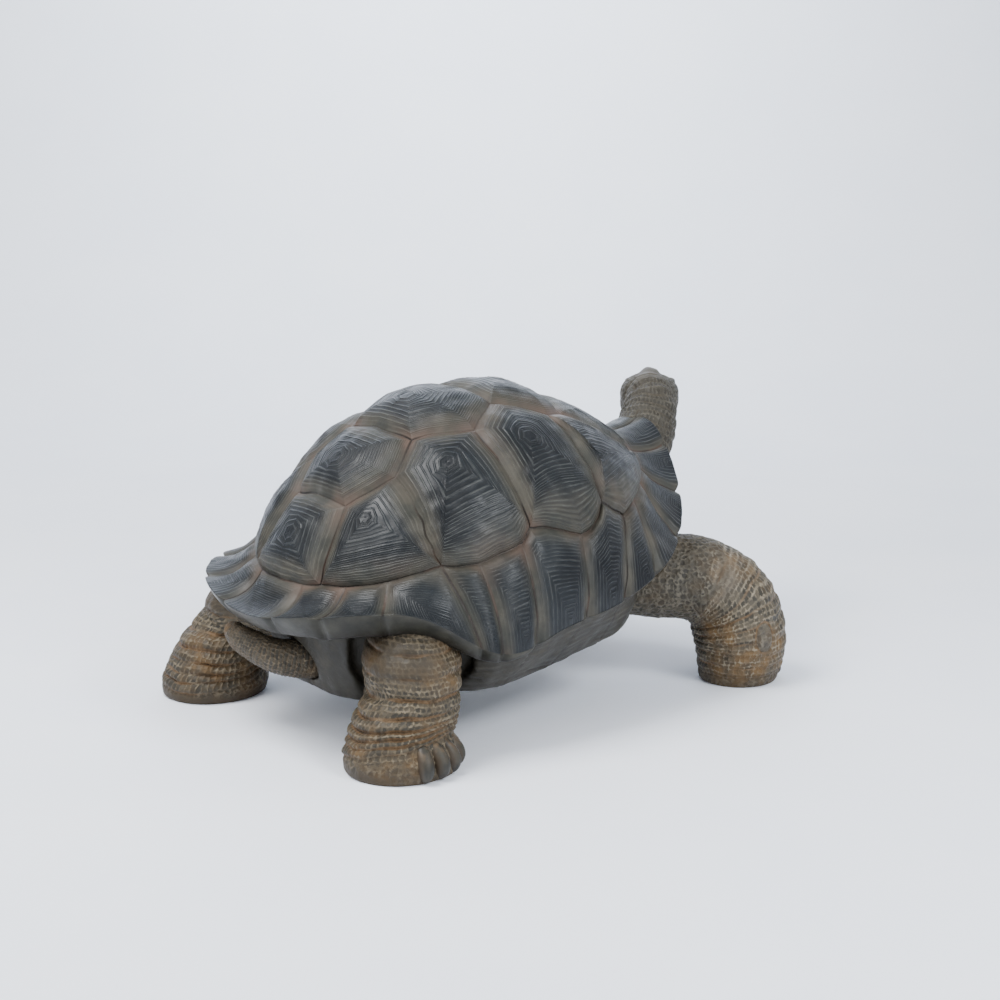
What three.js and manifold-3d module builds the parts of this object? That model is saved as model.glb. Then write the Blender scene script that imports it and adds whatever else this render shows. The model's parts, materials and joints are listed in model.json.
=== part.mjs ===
// A life-size statue of a giant tortoise, in millimetres. The floor is z = 0, +Z is up, the
// animal faces -Y and its left side is +X. The shell is laid out around its upright middle axis:
// an angle of 0 degrees points to the tail, 90 degrees to a side and 180 degrees to the neck.
import * as THREE from 'three';
import Module from 'manifold-3d';
import { mergeVertices } from 'three/addons/utils/BufferGeometryUtils.js';

const wasm = await Module();
wasm.setup();

// ---- driving dimensions -------------------------------------------------------------------

const GAP = 0.35;               // space kept between pieces that meet
const STATION_STEP = 22.5;      // degrees between the stations of the tables below
const CORNER_SOFTNESS = 0.02;   // keeps a corner of nearly level faces from running away
const LONGEST_SHIFT = 2;        // and no corner moves further than this many gaps

// Shell stations from the tail (0 degrees) to the neck (180 degrees), the same on both sides.
const RIM_RADIUS = [446, 454, 413, 375, 350, 374, 428, 464, 492];
const RIM_HEIGHT = [237, 262, 268, 187, 210, 235, 293, 390, 484];
const SEAM_RADIUS = [373, 363, 340, 314, 299, 325, 352, 375, 386];
const SEAM_HEIGHT = [291, 293, 322, 338, 364, 353, 387, 428, 466];
const DOME_POWER = [1.45, 1.45, 1.42, 1.4, 1.4, 1.42, 1.6, 2.1, 2.5];
const FLARE = [-14, -14, -8, 10, 16, 12, -4, -8, -8];   // bulge of a marginal plate, + is out
const LIP_DROP = [30, 44, 44, 20, 3, 6, 26, 34, 34];      // how far the rim turns down
const LIP_INSET = [26, 26, 26, 14, 8, 10, 24, 26, 26];    // and in under itself
const DOME_TOP = 584;           // height of the dome's middle, at the seams
const DOME_ROUND = 0.964;       // plan roundness of the dome, 1 is an ellipse
const DOME_SHIFT = -34;         // the dome's middle lies this far towards the neck
const ROOF_RATIO = 0.84;        // radius of the shell's hollow underside, over the seam's
const ROOF_DROP = 26;           // the hollow's roof lies this far below the seam
const RIM_NOTCH = 7;            // depth of the notch where two marginal plates meet

// Where the plates meet: [angle in degrees, share of the way from the top to the seam].
const V1_V2 = [139, 0.345];
const V2_SIDE = [127, 0.325];
const V2_V3 = [90, 0.19];
const V3_SIDE = [62, 0.342];
const V3_V4 = [28, 0.363];
const V4_SIDE = [28.5, 0.511];
const V4_V5 = [14.5, 0.618];
// The line where the dome meets its border of marginal plates, in the same terms.
const SEAM_LINE = [
  [0, 1], [10.5, 1], [16, 0.97], [24, 0.98], [36, 1], [51, 0.955], [63, 1], [70, 0.95],
  [78, 0.95], [81, 0.86], [103, 1], [114.5, 0.785], [121, 0.88], [125, 0.98], [134, 0.96],
  [146, 0.97], [156, 1], [166, 1], [180, 1],
];
const V5_FOOT = SEAM_LINE[2];
const C4_FOOT = SEAM_LINE[5];
const C3_FOOT = SEAM_LINE[9];
const C2_FOOT = SEAM_LINE[11];
const C1_FOOT = SEAM_LINE[17];

// The seams between marginal plates: [index in SEAM_LINE, angle at the rim].
const MARGINAL_SEAMS = [
  [1, 10], [3, 24], [4, 38], [5, 62], [6, 68], [8, 79], [10, 98], [13, 113], [14, 126],
  [15, 140], [16, 154], [17, 168], [18, 180],
];

const SCUTE_STEP = 46;          // length of one edge of a plate's outline
const SCUTE_RINGS = [1, 0.93, 0.76, 0.5, 0.24];
const EDGE_ORDER = new THREE.Vector2(1, 7);     // says which end of an edge comes first
const GROOVE = 3;               // depth of the seams between plates
const SHOULDER = 3;             // height of a plate's edge over the base surface
const HUMP_CURVE = 1.7;         // 1 is a cone, more is a rounder hump
const MARGINAL_HUMP = 5;
const MARGINAL_SIDES = 0.3;     // share of that hump near a marginal plate's two sides
const MARGINAL_FADE = 0.6;      // how much of it is gone at the rim
const MARGINAL_RIM = 0.3;       // share of a marginal plate's height that is left at the rim
const MARGINAL_SHARES = [0, 0.1, 0.5, 0.9, 1];  // points across a marginal plate
const MARGINAL_ROWS = [0.14, 0.5, 0.86, 1];     // and its rows, from the seam to the rim
const HUMP = { V1: 9, V2: 19, V3: 20, V4: 16, V5: 11, C1: 11, C2: 14, C3: 14, C4: 12 };
// The old plate that each plate grew from, where its hump stands highest.
const OLD_PLATE = {
  V1: [180, 0.56], V2: [180, 0.13], V3: [0, 0.19], V4: [0, 0.48], V5: [0, 0.76],
  C1: [123, 0.59], C2: [91, 0.457], C3: [48.5, 0.5], C4: [25, 0.672],
};

// Lower shell: the outline of its flat underside and of its top, and their heights.
const PLASTRON_RADIUS = [308, 312, 245, 268, 250, 272, 342, 262, 350];
const PLASTRON_HEIGHT = [70, 70, 76, 84, 92, 110, 142, 160, 166];
const BRIDGE_RADIUS = [366, 366, 320, 366, 346, 366, 366, 330, 384];
const BRIDGE_HEIGHT = [250, 250, 236, 194, 214, 238, 240, 208, 204];
const PLASTRON_HOLLOW = 6;      // the middle of the underside lies this much higher
const PLASTRON_MIDDLE = 0.55;   // that middle's radius, as a share of the outline's
const PLASTRON_TILT = 0.25;     // and how far its height goes towards the other end's
const PLASTRON_EDGE = 0.94;     // where the underside starts to round up into the sides
const PLASTRON_ROUND = 6;       // height of that rounding
const PLASTRON_SWELL = 5;       // the sides stand out this far half way up

// Inner body, seen in the openings of the shell.
const TORSO_RADIUS = [318, 268, 196, 214, 226, 214, 206, 280, 330];
const TORSO_LOW = [112, 110, 110, 112, 124, 150, 176, 190, 196];
const TORSO_HIGH = [330, 330, 340, 350, 360, 370, 390, 420, 440];
// Rows of the inner body: [share of its radius, share of the way up].
const TORSO_ROWS = [[0.8, 0], [0.97, 0.2], [1, 0.5], [0.97, 1]];
const BOWL_SIDES = 48;

// Limbs: [x, y, z, half width, half depth] from the root to the tip, for the animal's left side.
const HIND_LEG = [
  [100, 142, 172, 80, 80], [190, 222, 176, 86, 80], [246, 264, 150, 87, 82],
  [262, 268, 120, 77, 72], [261, 290, 68, 82, 88], [266, 299, 28, 94, 101], [268, 302, 0, 92, 98],
];
const FRONT_LEG = [
  [100, -280, 212, 80, 78], [180, -370, 208, 82, 78], [232, -439, 198, 84, 78],
  [271, -482, 160, 88, 82], [287, -499, 104, 89, 86], [288, -503, 46, 82, 82],
  [284, -503, 0, 74, 76],
];
const STEP_BACK = [28, 37];     // the left hind foot stands this much further out and back
const LEG_SIDES = 20;
const LEG_STEPS = 14;
const LEVEL_FROM = 2.4;         // a leg's rings start to turn level this many stations up
const LEVEL_BY = 0.8;           // and lie level from here down
const CLAW_SIDES = 10;
const CLAW_RINGS = 8;
const TAIL = [
  [-8, 262, 132, 40, 36], [0, 330, 132, 38, 33], [26, 374, 142, 33, 28], [78, 398, 160, 27, 23],
  [118, 400, 172, 19, 17], [130, 399, 176, 8, 7],
];
const TAIL_SIDES = 14;
const NECK = [
  [0, -262, 290, 84, 76], [0, -390, 330, 76, 70], [6, -474, 383, 69, 64], [26, -538, 452, 66, 57],
  [62, -580, 501, 58, 48], [104, -612, 506, 42, 38],
];
const NECK_SIDES = 24;
const TUBE_STEPS = 10;          // lengths along the neck and along the tail
const UPRIGHT = new THREE.Vector3(0, 0, 1);     // the way the tail's depth is measured

// Claws: how many, the angle between them, how far their middles stand out from the foot's, and
// half their length, width and height.
const HIND_CLAWS = { count: 4, spread: 20, reach: 78, length: 32, width: 15, height: 34 };
const FRONT_CLAWS = { count: 5, spread: 24, reach: 62, length: 26, width: 13, height: 21 };
const CLAW_LEAN = 0.35;         // a claw's foot stands out this much further than its root
const CLAW_LIFT = 1.5;          // and clears the floor by this much
// A foot's aim is the angle of its claws outward from straight ahead.
const FOOT_AIM = { frontLeft: 6, frontRight: -14, hindLeft: 28, hindRight: 70 };

// Clear space in the lower shell around what comes out of it.
const POCKET = 30;
const NECK_POCKET = 34;
const TAIL_POCKET = 5;
const POCKET_SIDES = 12;
const POCKET_STEPS = 8;

// Head: it starts at the nape and looks to the animal's left.
const NAPE = [48, -566, 508];
const HEAD_TURN = 45;           // degrees from straight ahead to the animal's left
const HEAD_NOD = -6;            // degrees, below the level
const HEAD_LENGTH = 186;
// Head stations: [share of the length, half width, top, bottom], the last three in millimetres.
const HEAD_SHAPE = [
  [0, 42, 34, -40], [0.12, 54, 43, -50], [0.3, 63, 47, -54], [0.48, 60, 48, -51],
  [0.64, 52, 46, -46], [0.8, 43, 41, -41], [0.93, 33, 31, -34], [1, 20, 14, -20],
];
const CROWN_HEIGHT = 14;        // the smooth plate on top of the head
const CROWN_WIDTH = 19;
const HEAD_SIDES = 24;
const HEAD_STEPS = 14;
const HEAD_SQUARE = 2.4;        // 2 is a round section, more is squarer
const EYE_RADIUS = 13;
const EYE_ALONG = 0.63;         // share of the head's length
const EYE_UP = 13;
const EYE_DEPTH = 8;            // the eye's middle lies this far inside the skin
const BALL_SIDES = 14;
const BALL_RINGS = 10;
const MOUTH_UP = -12;
const MOUTH_DEPTH = 4;
const MOUTH_HEIGHT = 2.4;
const MOUTH_CORNER = 0.5;       // share of the head's length where the mouth ends
const MOUTH_FRONT = 0.985;
const MOUTH_RISE = 22;          // how much its corners lie higher
const MOUTH_STEPS = 10;
const LID_THICKNESS = 3.2;
const LID_OUT = 6.5;            // the lids stand this far outside the eye's middle
const BROW_PLACE = [-2, -4, 17];                // outward, forward and up from the eye
const BROW_SIZE = [13, 26, 9];
const NOSTRIL_PLACE = [7, 0.975, 10];           // sideways, share of the length, up
const NOSTRIL_SIZE = [2.6, 5, 2.6];

const COLOURS = {
  shell: 0x3d444a, plastron: 0x4c4f4a, skin: 0x5a4d3a, neck: 0x57544a, eye: 0x120d09,
};

// ---- helpers ------------------------------------------------------------------------------

const radians = THREE.MathUtils.degToRad;
const vector = (x, y, z) => new THREE.Vector3(x, y, z);

// A smooth curve through four values, read between the middle two.
function smooth(a, b, c, d, w) {
  const w2 = w * w;
  const w3 = w2 * w;
  return 0.5 * (2 * b + (c - a) * w + (2 * a - 5 * b + 4 * c - d) * w2 + (3 * b - a - 3 * c + d) * w3);
}

// The value of a station table at an angle, smooth and alike on both sides.
function around(table, degrees) {
  const last = table.length - 1;
  const x = Math.abs(THREE.MathUtils.euclideanModulo(degrees + 180, 360) - 180) / STATION_STEP;
  const i = Math.min(Math.floor(x), last - 1);
  const at = (k) => table[k < 0 ? -k : k > last ? 2 * last - k : k];
  return smooth(at(i - 1), at(i), at(i + 1), at(i + 2), x - i);
}

// The point at a radius, an angle and a height.
function polar(radius, degrees, height) {
  const a = radians(degrees);
  return vector(radius * Math.sin(a), radius * Math.cos(a), height);
}

// Collects triangles of a closed body and gives them as a geometry with shared vertices.
class Shape {
  constructor() {
    this.corners = [];
  }
  triangle(a, b, c) {
    this.corners.push(a.x, a.y, a.z, b.x, b.y, b.z, c.x, c.y, c.z);
  }
  // Two triangles between the edges a-b and c-d, which run the same way.
  quad(a, b, c, d) {
    this.triangle(a, b, d);
    this.triangle(a, d, c);
  }
  // A band between two closed rows of the same length.
  band(low, high) {
    low.forEach((p, i) => {
      const k = (i + 1) % low.length;
      this.quad(p, low[k], high[i], high[k]);
    });
  }
  // A fan that closes a row, seen from outside with its points turning left.
  cap(row, middle) {
    row.forEach((p, i) => this.triangle(p, row[(i + 1) % row.length], middle));
  }
  geometry() {
    const made = new THREE.BufferGeometry();
    made.setAttribute('position', new THREE.Float32BufferAttribute(this.corners, 3));
    return mergeVertices(made, 1e-3);
  }
}

// A closed mesh as a manifold solid.
function solid(geometry) {
  const vertProperties = new Float32Array(geometry.attributes.position.array);
  const triVerts = new Uint32Array(geometry.index.array);
  return new wasm.Manifold(new wasm.Mesh({ numProp: 3, vertProperties, triVerts }));
}

// Any closed three.js geometry as a solid.
function solidOf(geometry) {
  const bare = geometry.clone();
  bare.deleteAttribute('normal');
  bare.deleteAttribute('uv');
  return solid(mergeVertices(bare, 1e-4));
}

// A solid's largest closed surface, back as a geometry.
function geometryOf(body) {
  const pieces = body.decompose();
  const largest = pieces.reduce((a, b) => (b.volume() > a.volume() ? b : a));
  const mesh = largest.getMesh();
  const made = new THREE.BufferGeometry();
  made.setAttribute('position', new THREE.BufferAttribute(mesh.vertProperties, 3));
  made.setIndex(new THREE.BufferAttribute(mesh.triVerts, 1));
  return made;
}

// The same closed surface with every face moved out by a distance. Each corner goes where its
// faces meet after the move, which is worked out from the sum of their normals' products.
function grown(geometry, distance) {
  const wider = geometry.clone();
  const { position } = wider.attributes;
  const index = wider.index.array;
  const sums = Array.from({ length: position.count }, () => ({
    products: new THREE.Matrix3().multiplyScalar(CORNER_SOFTNESS),
    normals: vector(0, 0, 0),
  }));
  const face = new THREE.Triangle();
  for (let i = 0; i < index.length; i += 3) {
    const corners = [index[i], index[i + 1], index[i + 2]];
    face.setFromAttributeAndIndices(position, ...corners);
    const normal = face.getNormal(vector(0, 0, 0));
    const n = normal.toArray();
    const weight = Math.sqrt(face.getArea());
    for (const corner of corners) {
      const { products, normals } = sums[corner];
      products.elements.forEach((_, k, all) => {
        all[k] += weight * n[k % 3] * n[Math.floor(k / 3)];
      });
      normals.addScaledVector(normal, weight);
    }
  }
  sums.forEach(({ products, normals }, i) => {
    const shift = normals.applyMatrix3(products.invert()).multiplyScalar(distance);
    shift.clampLength(0, LONGEST_SHIFT * distance);
    shift.add(vector(0, 0, 0).fromBufferAttribute(position, i));
    position.setXYZ(i, ...shift.toArray());
  });
  return wider;
}

// ---- upper shell --------------------------------------------------------------------------

// The plain dome, before its plates are raised. t runs from 0 at the top to 1 at the seam.
function domePoint(degrees, t) {
  const rise = Math.cos(t * Math.PI / 2);
  const seam = around(SEAM_HEIGHT, degrees);
  const spread = Math.abs(Math.sin(t * Math.PI / 2)) ** DOME_ROUND;
  const lift = Math.max(rise, 0) ** around(DOME_POWER, degrees);
  const point = polar(around(SEAM_RADIUS, degrees) * spread, degrees, seam + (DOME_TOP - seam) * lift);
  point.y += DOME_SHIFT * rise;
  return point;
}

// Plates are laid out on a flat disc: the way out is t, the way round is the angle.
const discPoint = ([degrees, t]) => new THREE.Vector2(
  t * Math.sin(radians(degrees)), t * Math.cos(radians(degrees)));

function onDome(place) {
  const degrees = THREE.MathUtils.radToDeg(Math.atan2(place.x, place.y));
  return domePoint(degrees, place.length());
}

function domeNormal(place) {
  const step = 0.01;
  const across = onDome(place.clone().add(new THREE.Vector2(step, 0)))
    .sub(onDome(place.clone().add(new THREE.Vector2(-step, 0))));
  const along = onDome(place.clone().add(new THREE.Vector2(0, step)))
    .sub(onDome(place.clone().add(new THREE.Vector2(0, -step))));
  return across.cross(along).normalize();
}

const raised = (place, height) => onDome(place).addScaledVector(domeNormal(place), height);

// A place part of the way from one to the other, exact at both ends.
function between(a, b, share) {
  return share === 0 ? a : share === 1 ? b : a.clone().lerp(b, share);
}

// The seam line in short steps from one angle to another, on one side of the shell.
function seamRun(from, to, side) {
  const run = [];
  for (let i = from; i < to; i++) {
    const [a, b] = [SEAM_LINE[i], SEAM_LINE[i + 1]];
    const length = onDome(discPoint(a)).distanceTo(onDome(discPoint(b)));
    const steps = Math.max(1, Math.round(length / SCUTE_STEP));
    for (let k = 0; k < steps; k++) {
      const w = k / steps;
      run.push([side * (a[0] + (b[0] - a[0]) * w), a[1] + (b[1] - a[1]) * w]);
    }
  }
  run.push([side * SEAM_LINE[to][0], SEAM_LINE[to][1]]);
  return run.map(discPoint);
}

// A straight edge between two plates, in short steps, always counted from the same end.
function edgeRun(a, b) {
  const [start, end] = [discPoint(a), discPoint(b)];
  const turned = start.dot(EDGE_ORDER) > end.dot(EDGE_ORDER);
  const [low, high] = turned ? [end, start] : [start, end];
  const steps = Math.max(1, Math.round(onDome(start).distanceTo(onDome(end)) / SCUTE_STEP));
  const run = [];
  for (let k = 0; k <= steps; k++) run.push(between(low, high, k / steps));
  return turned ? run.reverse() : run;
}

const seamIndex = (corner) => SEAM_LINE.indexOf(corner);
const mirror = ([degrees, t]) => [-degrees, t];

// The outline of a plate from its corners, which turn left as seen from above.
function outline(corners) {
  const points = [];
  corners.forEach(({ at, side }, i) => {
    const next = corners[(i + 1) % corners.length];
    const [from, to] = [seamIndex(at), seamIndex(next.at)];
    let run;
    if (from < 0 || to < 0) {
      run = edgeRun(side > 0 ? at : mirror(at), next.side > 0 ? next.at : mirror(next.at));
    } else if (side !== next.side) {
      const end = from < SEAM_LINE.length / 2 ? 0 : SEAM_LINE.length - 1;
      const half = (s) => seamRun(Math.min(from, end), Math.max(from, end), s);
      run = end === 0
        ? [...half(side).reverse(), ...half(next.side).slice(1)]
        : [...half(side), ...half(next.side).reverse().slice(1)];
    } else {
      run = seamRun(Math.min(from, to), Math.max(from, to), side);
      if (from > to) run.reverse();
    }
    points.push(...run.slice(0, -1));
  });
  return points;
}

// One raised plate: rings from its sunken outline to a hump over its old plate.
function addScute(shape, corners, oldPlate, hump) {
  const edge = outline(corners);
  const middle = discPoint(oldPlate);
  const rows = SCUTE_RINGS.map((share) => edge.map((p) => {
    const height = share === 1 ? -GROOVE : SHOULDER + hump * (1 - share ** HUMP_CURVE);
    return raised(between(middle, p, share), height);
  }));
  for (let k = 1; k < rows.length; k++) shape.band(rows[k - 1], rows[k]);
  shape.cap(rows[rows.length - 1], raised(middle, SHOULDER + hump));
}

const left = (at) => ({ at, side: 1 });
const right = (at) => ({ at, side: -1 });

function addDome(shape) {
  const middlePlates = {
    V1: [left(C1_FOOT), right(C1_FOOT), right(V1_V2), left(V1_V2)],
    V2: [left(V1_V2), right(V1_V2), right(V2_SIDE), right(V2_V3), left(V2_V3), left(V2_SIDE)],
    V3: [left(V2_V3), right(V2_V3), right(V3_SIDE), right(V3_V4), left(V3_V4), left(V3_SIDE)],
    V4: [left(V3_V4), right(V3_V4), right(V4_SIDE), right(V4_V5), left(V4_V5), left(V4_SIDE)],
    V5: [left(V4_V5), right(V4_V5), right(V5_FOOT), left(V5_FOOT)],
  };
  const sidePlates = {
    C1: [C1_FOOT, V1_V2, V2_SIDE, C2_FOOT],
    C2: [C2_FOOT, V2_SIDE, V2_V3, V3_SIDE, C3_FOOT],
    C3: [C3_FOOT, V3_SIDE, V3_V4, V4_SIDE, C4_FOOT],
    C4: [C4_FOOT, V4_SIDE, V4_V5, V5_FOOT],
  };
  for (const [name, corners] of Object.entries(middlePlates)) {
    addScute(shape, corners.reverse(), OLD_PLATE[name], HUMP[name]);
  }
  for (const [name, corners] of Object.entries(sidePlates)) {
    addScute(shape, corners.map(left).reverse(), OLD_PLATE[name], HUMP[name]);
    addScute(shape, corners.map(right), mirror(OLD_PLATE[name]), HUMP[name]);
  }
}

// A point of the flared border: its seam angle and share, its rim angle and the way down.
function borderPoint(place, rimDegrees, w, height) {
  const top = onDome(place);
  const rim = polar(around(RIM_RADIUS, rimDegrees), rimDegrees, around(RIM_HEIGHT, rimDegrees));
  const way = rim.clone().sub(top);
  const flat = Math.hypot(way.x, way.y);
  const out = vector(-way.z * way.x / flat, -way.z * way.y / flat, flat).normalize();
  const bulge = 4 * w * (1 - w) * around(FLARE, rimDegrees);
  return top.addScaledVector(way, w).addScaledVector(out, bulge + height);
}

// Triangles between two open rows with different counts, matched by their shares.
function zip(shape, low, high) {
  let [i, k] = [0, 0];
  while (i < low.length - 1 || k < high.length - 1) {
    const lowLeft = i < low.length - 1;
    const stepLow = k === high.length - 1 || (lowLeft && low[i + 1].share <= high[k + 1].share);
    if (stepLow) {
      shape.triangle(low[i].point, low[i + 1].point, high[k].point);
      i++;
    } else {
      shape.triangle(low[i].point, high[k + 1].point, high[k].point);
      k++;
    }
  }
}

// The marginal plates in order round the shell, each with its ends at the seam and at the rim.
function marginalPlates() {
  const half = [];
  let [from, rim] = [0, 0];
  for (const [to, rimDegrees] of MARGINAL_SEAMS) {
    half.push({ from, to, rim, rimEnd: rimDegrees });
    [from, rim] = [to, rimDegrees];
  }
  return half;
}

// Adds the marginal plates and returns the row of points along the rim.
function addMarginals(shape) {
  const rimRow = [];
  const sides = marginalPlates();
  const tail = sides[0];
  const plates = [
    { ...tail, both: true, side: 1 },
    ...sides.slice(1).map((p) => ({ ...p, side: 1 })),
    ...sides.slice(1).reverse().map((p) => ({ ...p, side: -1 })),
  ];
  for (const plate of plates) {
    let upper;
    if (plate.both) {
      upper = [...seamRun(0, plate.to, -1).reverse(), ...seamRun(0, plate.to, 1).slice(1)];
    } else {
      upper = seamRun(plate.from, plate.to, plate.side);
      if (plate.side < 0) upper.reverse();
    }
    const ends = plate.both
      ? [-plate.rimEnd, plate.rimEnd]
      : plate.side > 0 ? [plate.rim, plate.rimEnd] : [-plate.rimEnd, -plate.rim];
    const spots = cumulative(upper);
    const seamAt = (share) => along(spots, share);
    const rimAt = (share) => ends[0] + (ends[1] - ends[0]) * share;
    const low = spots.map(({ share, place }) => ({ share, point: raised(place, -GROOVE) }));
    const rows = MARGINAL_ROWS.map((w) => MARGINAL_SHARES.map((share) => {
      const seam = share === 0 || share === 1;
      const hump = MARGINAL_HUMP * (share === 0.5 ? 1 : MARGINAL_SIDES) * (1 - w * MARGINAL_FADE);
      const height = (seam ? -GROOVE : SHOULDER + hump) * (w === 1 ? MARGINAL_RIM : 1);
      const point = borderPoint(seamAt(share), rimAt(share), w, height);
      if (w === 1 && seam) {
        const inward = Math.hypot(point.x, point.y);
        point.multiply(vector(1 - RIM_NOTCH / inward, 1 - RIM_NOTCH / inward, 1));
      }
      return { share, point };
    }));
    zip(shape, low, rows[0]);
    for (let k = 1; k < rows.length; k++) {
      for (let i = 0; i < MARGINAL_SHARES.length - 1; i++) {
        const [a, b] = [rows[k - 1][i].point, rows[k - 1][i + 1].point];
        const [c, d] = [rows[k][i].point, rows[k][i + 1].point];
        shape.quad(a, b, c, d);
      }
    }
    rimRow.push(...rows[rows.length - 1].slice(0, -1).map(({ point, share }) => (
      { point, degrees: rimAt(share) })));
  }
  return rimRow;
}

// Places along a run with their share of its whole length.
function cumulative(run) {
  const lengths = [0];
  for (let i = 1; i < run.length; i++) lengths.push(lengths[i - 1] + run[i].distanceTo(run[i - 1]));
  const whole = lengths[lengths.length - 1];
  return run.map((place, i) => ({ place, share: lengths[i] / whole }));
}

function along(spots, share) {
  const i = Math.max(1, spots.findIndex((spot) => spot.share >= share));
  const [a, b] = [spots[i - 1], spots[i]];
  return between(a.place, b.place, (share - a.share) / (b.share - a.share));
}

function carapaceGeometry() {
  const shape = new Shape();
  addDome(shape);
  const rim = addMarginals(shape);
  const lip = rim.map(({ point, degrees }) => {
    const reach = Math.hypot(point.x, point.y);
    const scale = 1 - around(LIP_INSET, degrees) / reach;
    return vector(point.x * scale, point.y * scale, point.z - around(LIP_DROP, degrees));
  });
  const roof = rim.map(({ degrees }) => polar(
    around(SEAM_RADIUS, degrees) * ROOF_RATIO, degrees, around(SEAM_HEIGHT, degrees) - ROOF_DROP));
  shape.band(rim.map(({ point }) => point), lip);
  shape.band(lip, roof);
  const middle = roof.reduce((sum, p) => sum.add(p), vector(0, 0, 0)).divideScalar(roof.length);
  shape.cap(roof, middle);
  return shape.geometry();
}

// ---- lower shell and inner body -----------------------------------------------------------

// A row of points around the shell's axis, turning left as seen from above.
function bowlRow(radiusAt, heightAt) {
  const row = [];
  for (let i = 0; i < BOWL_SIDES; i++) {
    const degrees = -360 * i / BOWL_SIDES;
    row.push(polar(radiusAt(degrees), degrees, heightAt(degrees)));
  }
  return row;
}

// A closed body between rows given from the lowest to the highest.
function stacked(rows) {
  const shape = new Shape();
  const middle = (row) => row.reduce((sum, p) => sum.add(p), vector(0, 0, 0)).divideScalar(row.length);
  shape.cap(rows[0].slice().reverse(), middle(rows[0]));
  for (let k = 1; k < rows.length; k++) shape.band(rows[k - 1], rows[k]);
  shape.cap(rows[rows.length - 1], middle(rows[rows.length - 1]));
  return shape.geometry();
}

function plastronBlock() {
  const low = (d) => around(PLASTRON_RADIUS, d);
  const base = (d) => around(PLASTRON_HEIGHT, d);
  const high = (d) => around(BRIDGE_RADIUS, d);
  const top = (d) => around(BRIDGE_HEIGHT, d);
  const middle = (d) => PLASTRON_HOLLOW
    + base(d) * (1 - PLASTRON_TILT) + base(180 - d) * PLASTRON_TILT;
  return stacked([
    bowlRow((d) => low(d) * PLASTRON_MIDDLE, middle),
    bowlRow((d) => low(d) * PLASTRON_EDGE, base),
    bowlRow(low, (d) => base(d) + PLASTRON_ROUND),
    bowlRow((d) => (low(d) + high(d)) / 2 + PLASTRON_SWELL, (d) => (base(d) + top(d)) / 2),
    bowlRow(high, top),
  ]);
}

function torsoBlock() {
  const radius = (d) => around(TORSO_RADIUS, d);
  const low = (d) => around(TORSO_LOW, d);
  const high = (d) => around(TORSO_HIGH, d);
  return stacked(TORSO_ROWS.map(([share, up]) => (
    bowlRow((d) => radius(d) * share, (d) => low(d) * (1 - up) + high(d) * up))));
}

// ---- limbs --------------------------------------------------------------------------------

// A station of a limb at u, which counts stations from the root.
function limbStation(stations, u) {
  const last = stations.length - 1;
  const i = Math.min(Math.floor(u), last - 1);
  const at = (k) => stations[Math.min(Math.max(k, 0), last)];
  return at(i).map((value, n) => smooth(at(i - 1)[n], value, at(i + 1)[n], at(i + 2)[n], u - i));
}

// A closed tube through stations. On a leg the last rings lie level, down to the flat sole.
function limb(stations, { sides, steps, standing = false, wider = 0, facing = vector(0, 1, 0) }) {
  const last = stations.length - 1;
  const place = (u) => vector(...limbStation(stations, u));
  const rows = [];
  for (let k = 0; k <= steps; k++) {
    const u = last * k / steps;
    const [x, y, z, halfWidth, halfDepth] = limbStation(stations, u);
    const way = place(Math.min(u + 0.05, last)).sub(place(Math.max(u - 0.05, 0))).normalize();
    const level = THREE.MathUtils.smoothstep(u, last - LEVEL_FROM, last - LEVEL_BY);
    if (standing) way.lerp(vector(0, 0, -1), level).normalize();
    const depth = facing.clone().addScaledVector(way, -facing.dot(way)).normalize();
    const width = depth.clone().cross(way);
    const row = [];
    for (let i = 0; i < sides; i++) {
      const turn = 2 * Math.PI * i / sides;
      row.push(vector(x, y, z)
        .addScaledVector(width, (halfWidth + wider) * Math.cos(turn))
        .addScaledVector(depth, (halfDepth + wider) * Math.sin(turn)));
    }
    rows.push(row);
  }
  return stacked(rows);
}

const mirrored = (stations) => stations.map(([x, ...others]) => [-x, ...others]);

// The same limb with its tip moved and its root kept.
function stepped(stations, [out, back]) {
  const share = (k) => THREE.MathUtils.smoothstep(k, 0, stations.length - 2);
  return stations.map(([x, y, ...others], k) => [x + out * share(k), y + back * share(k), ...others]);
}

// One claw: a thick, blunt nail that runs down the front of the foot and stands out at its tip.
function clawSolid(foot, aim, { reach, length, width, height }) {
  const claw = new THREE.SphereGeometry(1, CLAW_SIDES, CLAW_RINGS);
  const position = claw.attributes.position;
  for (let i = 0; i < position.count; i++) {
    const up = position.getZ(i);
    position.setXYZ(
      i,
      position.getX(i) * width,
      position.getY(i) * length - up * CLAW_LEAN * length,
      CLAW_LIFT + height * (1 + up),
    );
  }
  claw.rotateZ(aim);
  claw.translate(foot[0] - reach * Math.sin(aim), foot[1] + reach * Math.cos(aim), 0);
  return solidOf(claw);
}

// A leg with its claws, before it is cut clear of the body.
function legSolid({ path, claws, side, aim }) {
  let leg = solid(limb(path, { sides: LEG_SIDES, steps: LEG_STEPS, standing: true }));
  const foot = path[path.length - 1];
  for (let i = 0; i < claws.count; i++) {
    const turn = aim + claws.spread * (i - (claws.count - 1) / 2);
    leg = leg.add(clawSolid(foot, Math.PI + side * radians(turn), claws));
  }
  return leg;
}

// ---- head ---------------------------------------------------------------------------------
// The head is built level, with +Y to the snout, +Z up and +X to the animal's right.

function headStation(share) {
  const i = Math.max(1, HEAD_SHAPE.findIndex(([at]) => at >= share));
  const at = (k) => HEAD_SHAPE[Math.min(Math.max(k, 0), HEAD_SHAPE.length - 1)];
  const w = (share - at(i - 1)[0]) / (at(i)[0] - at(i - 1)[0]);
  return at(i).map((_, n) => smooth(at(i - 2)[n], at(i - 1)[n], at(i)[n], at(i + 1)[n], w));
}

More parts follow.
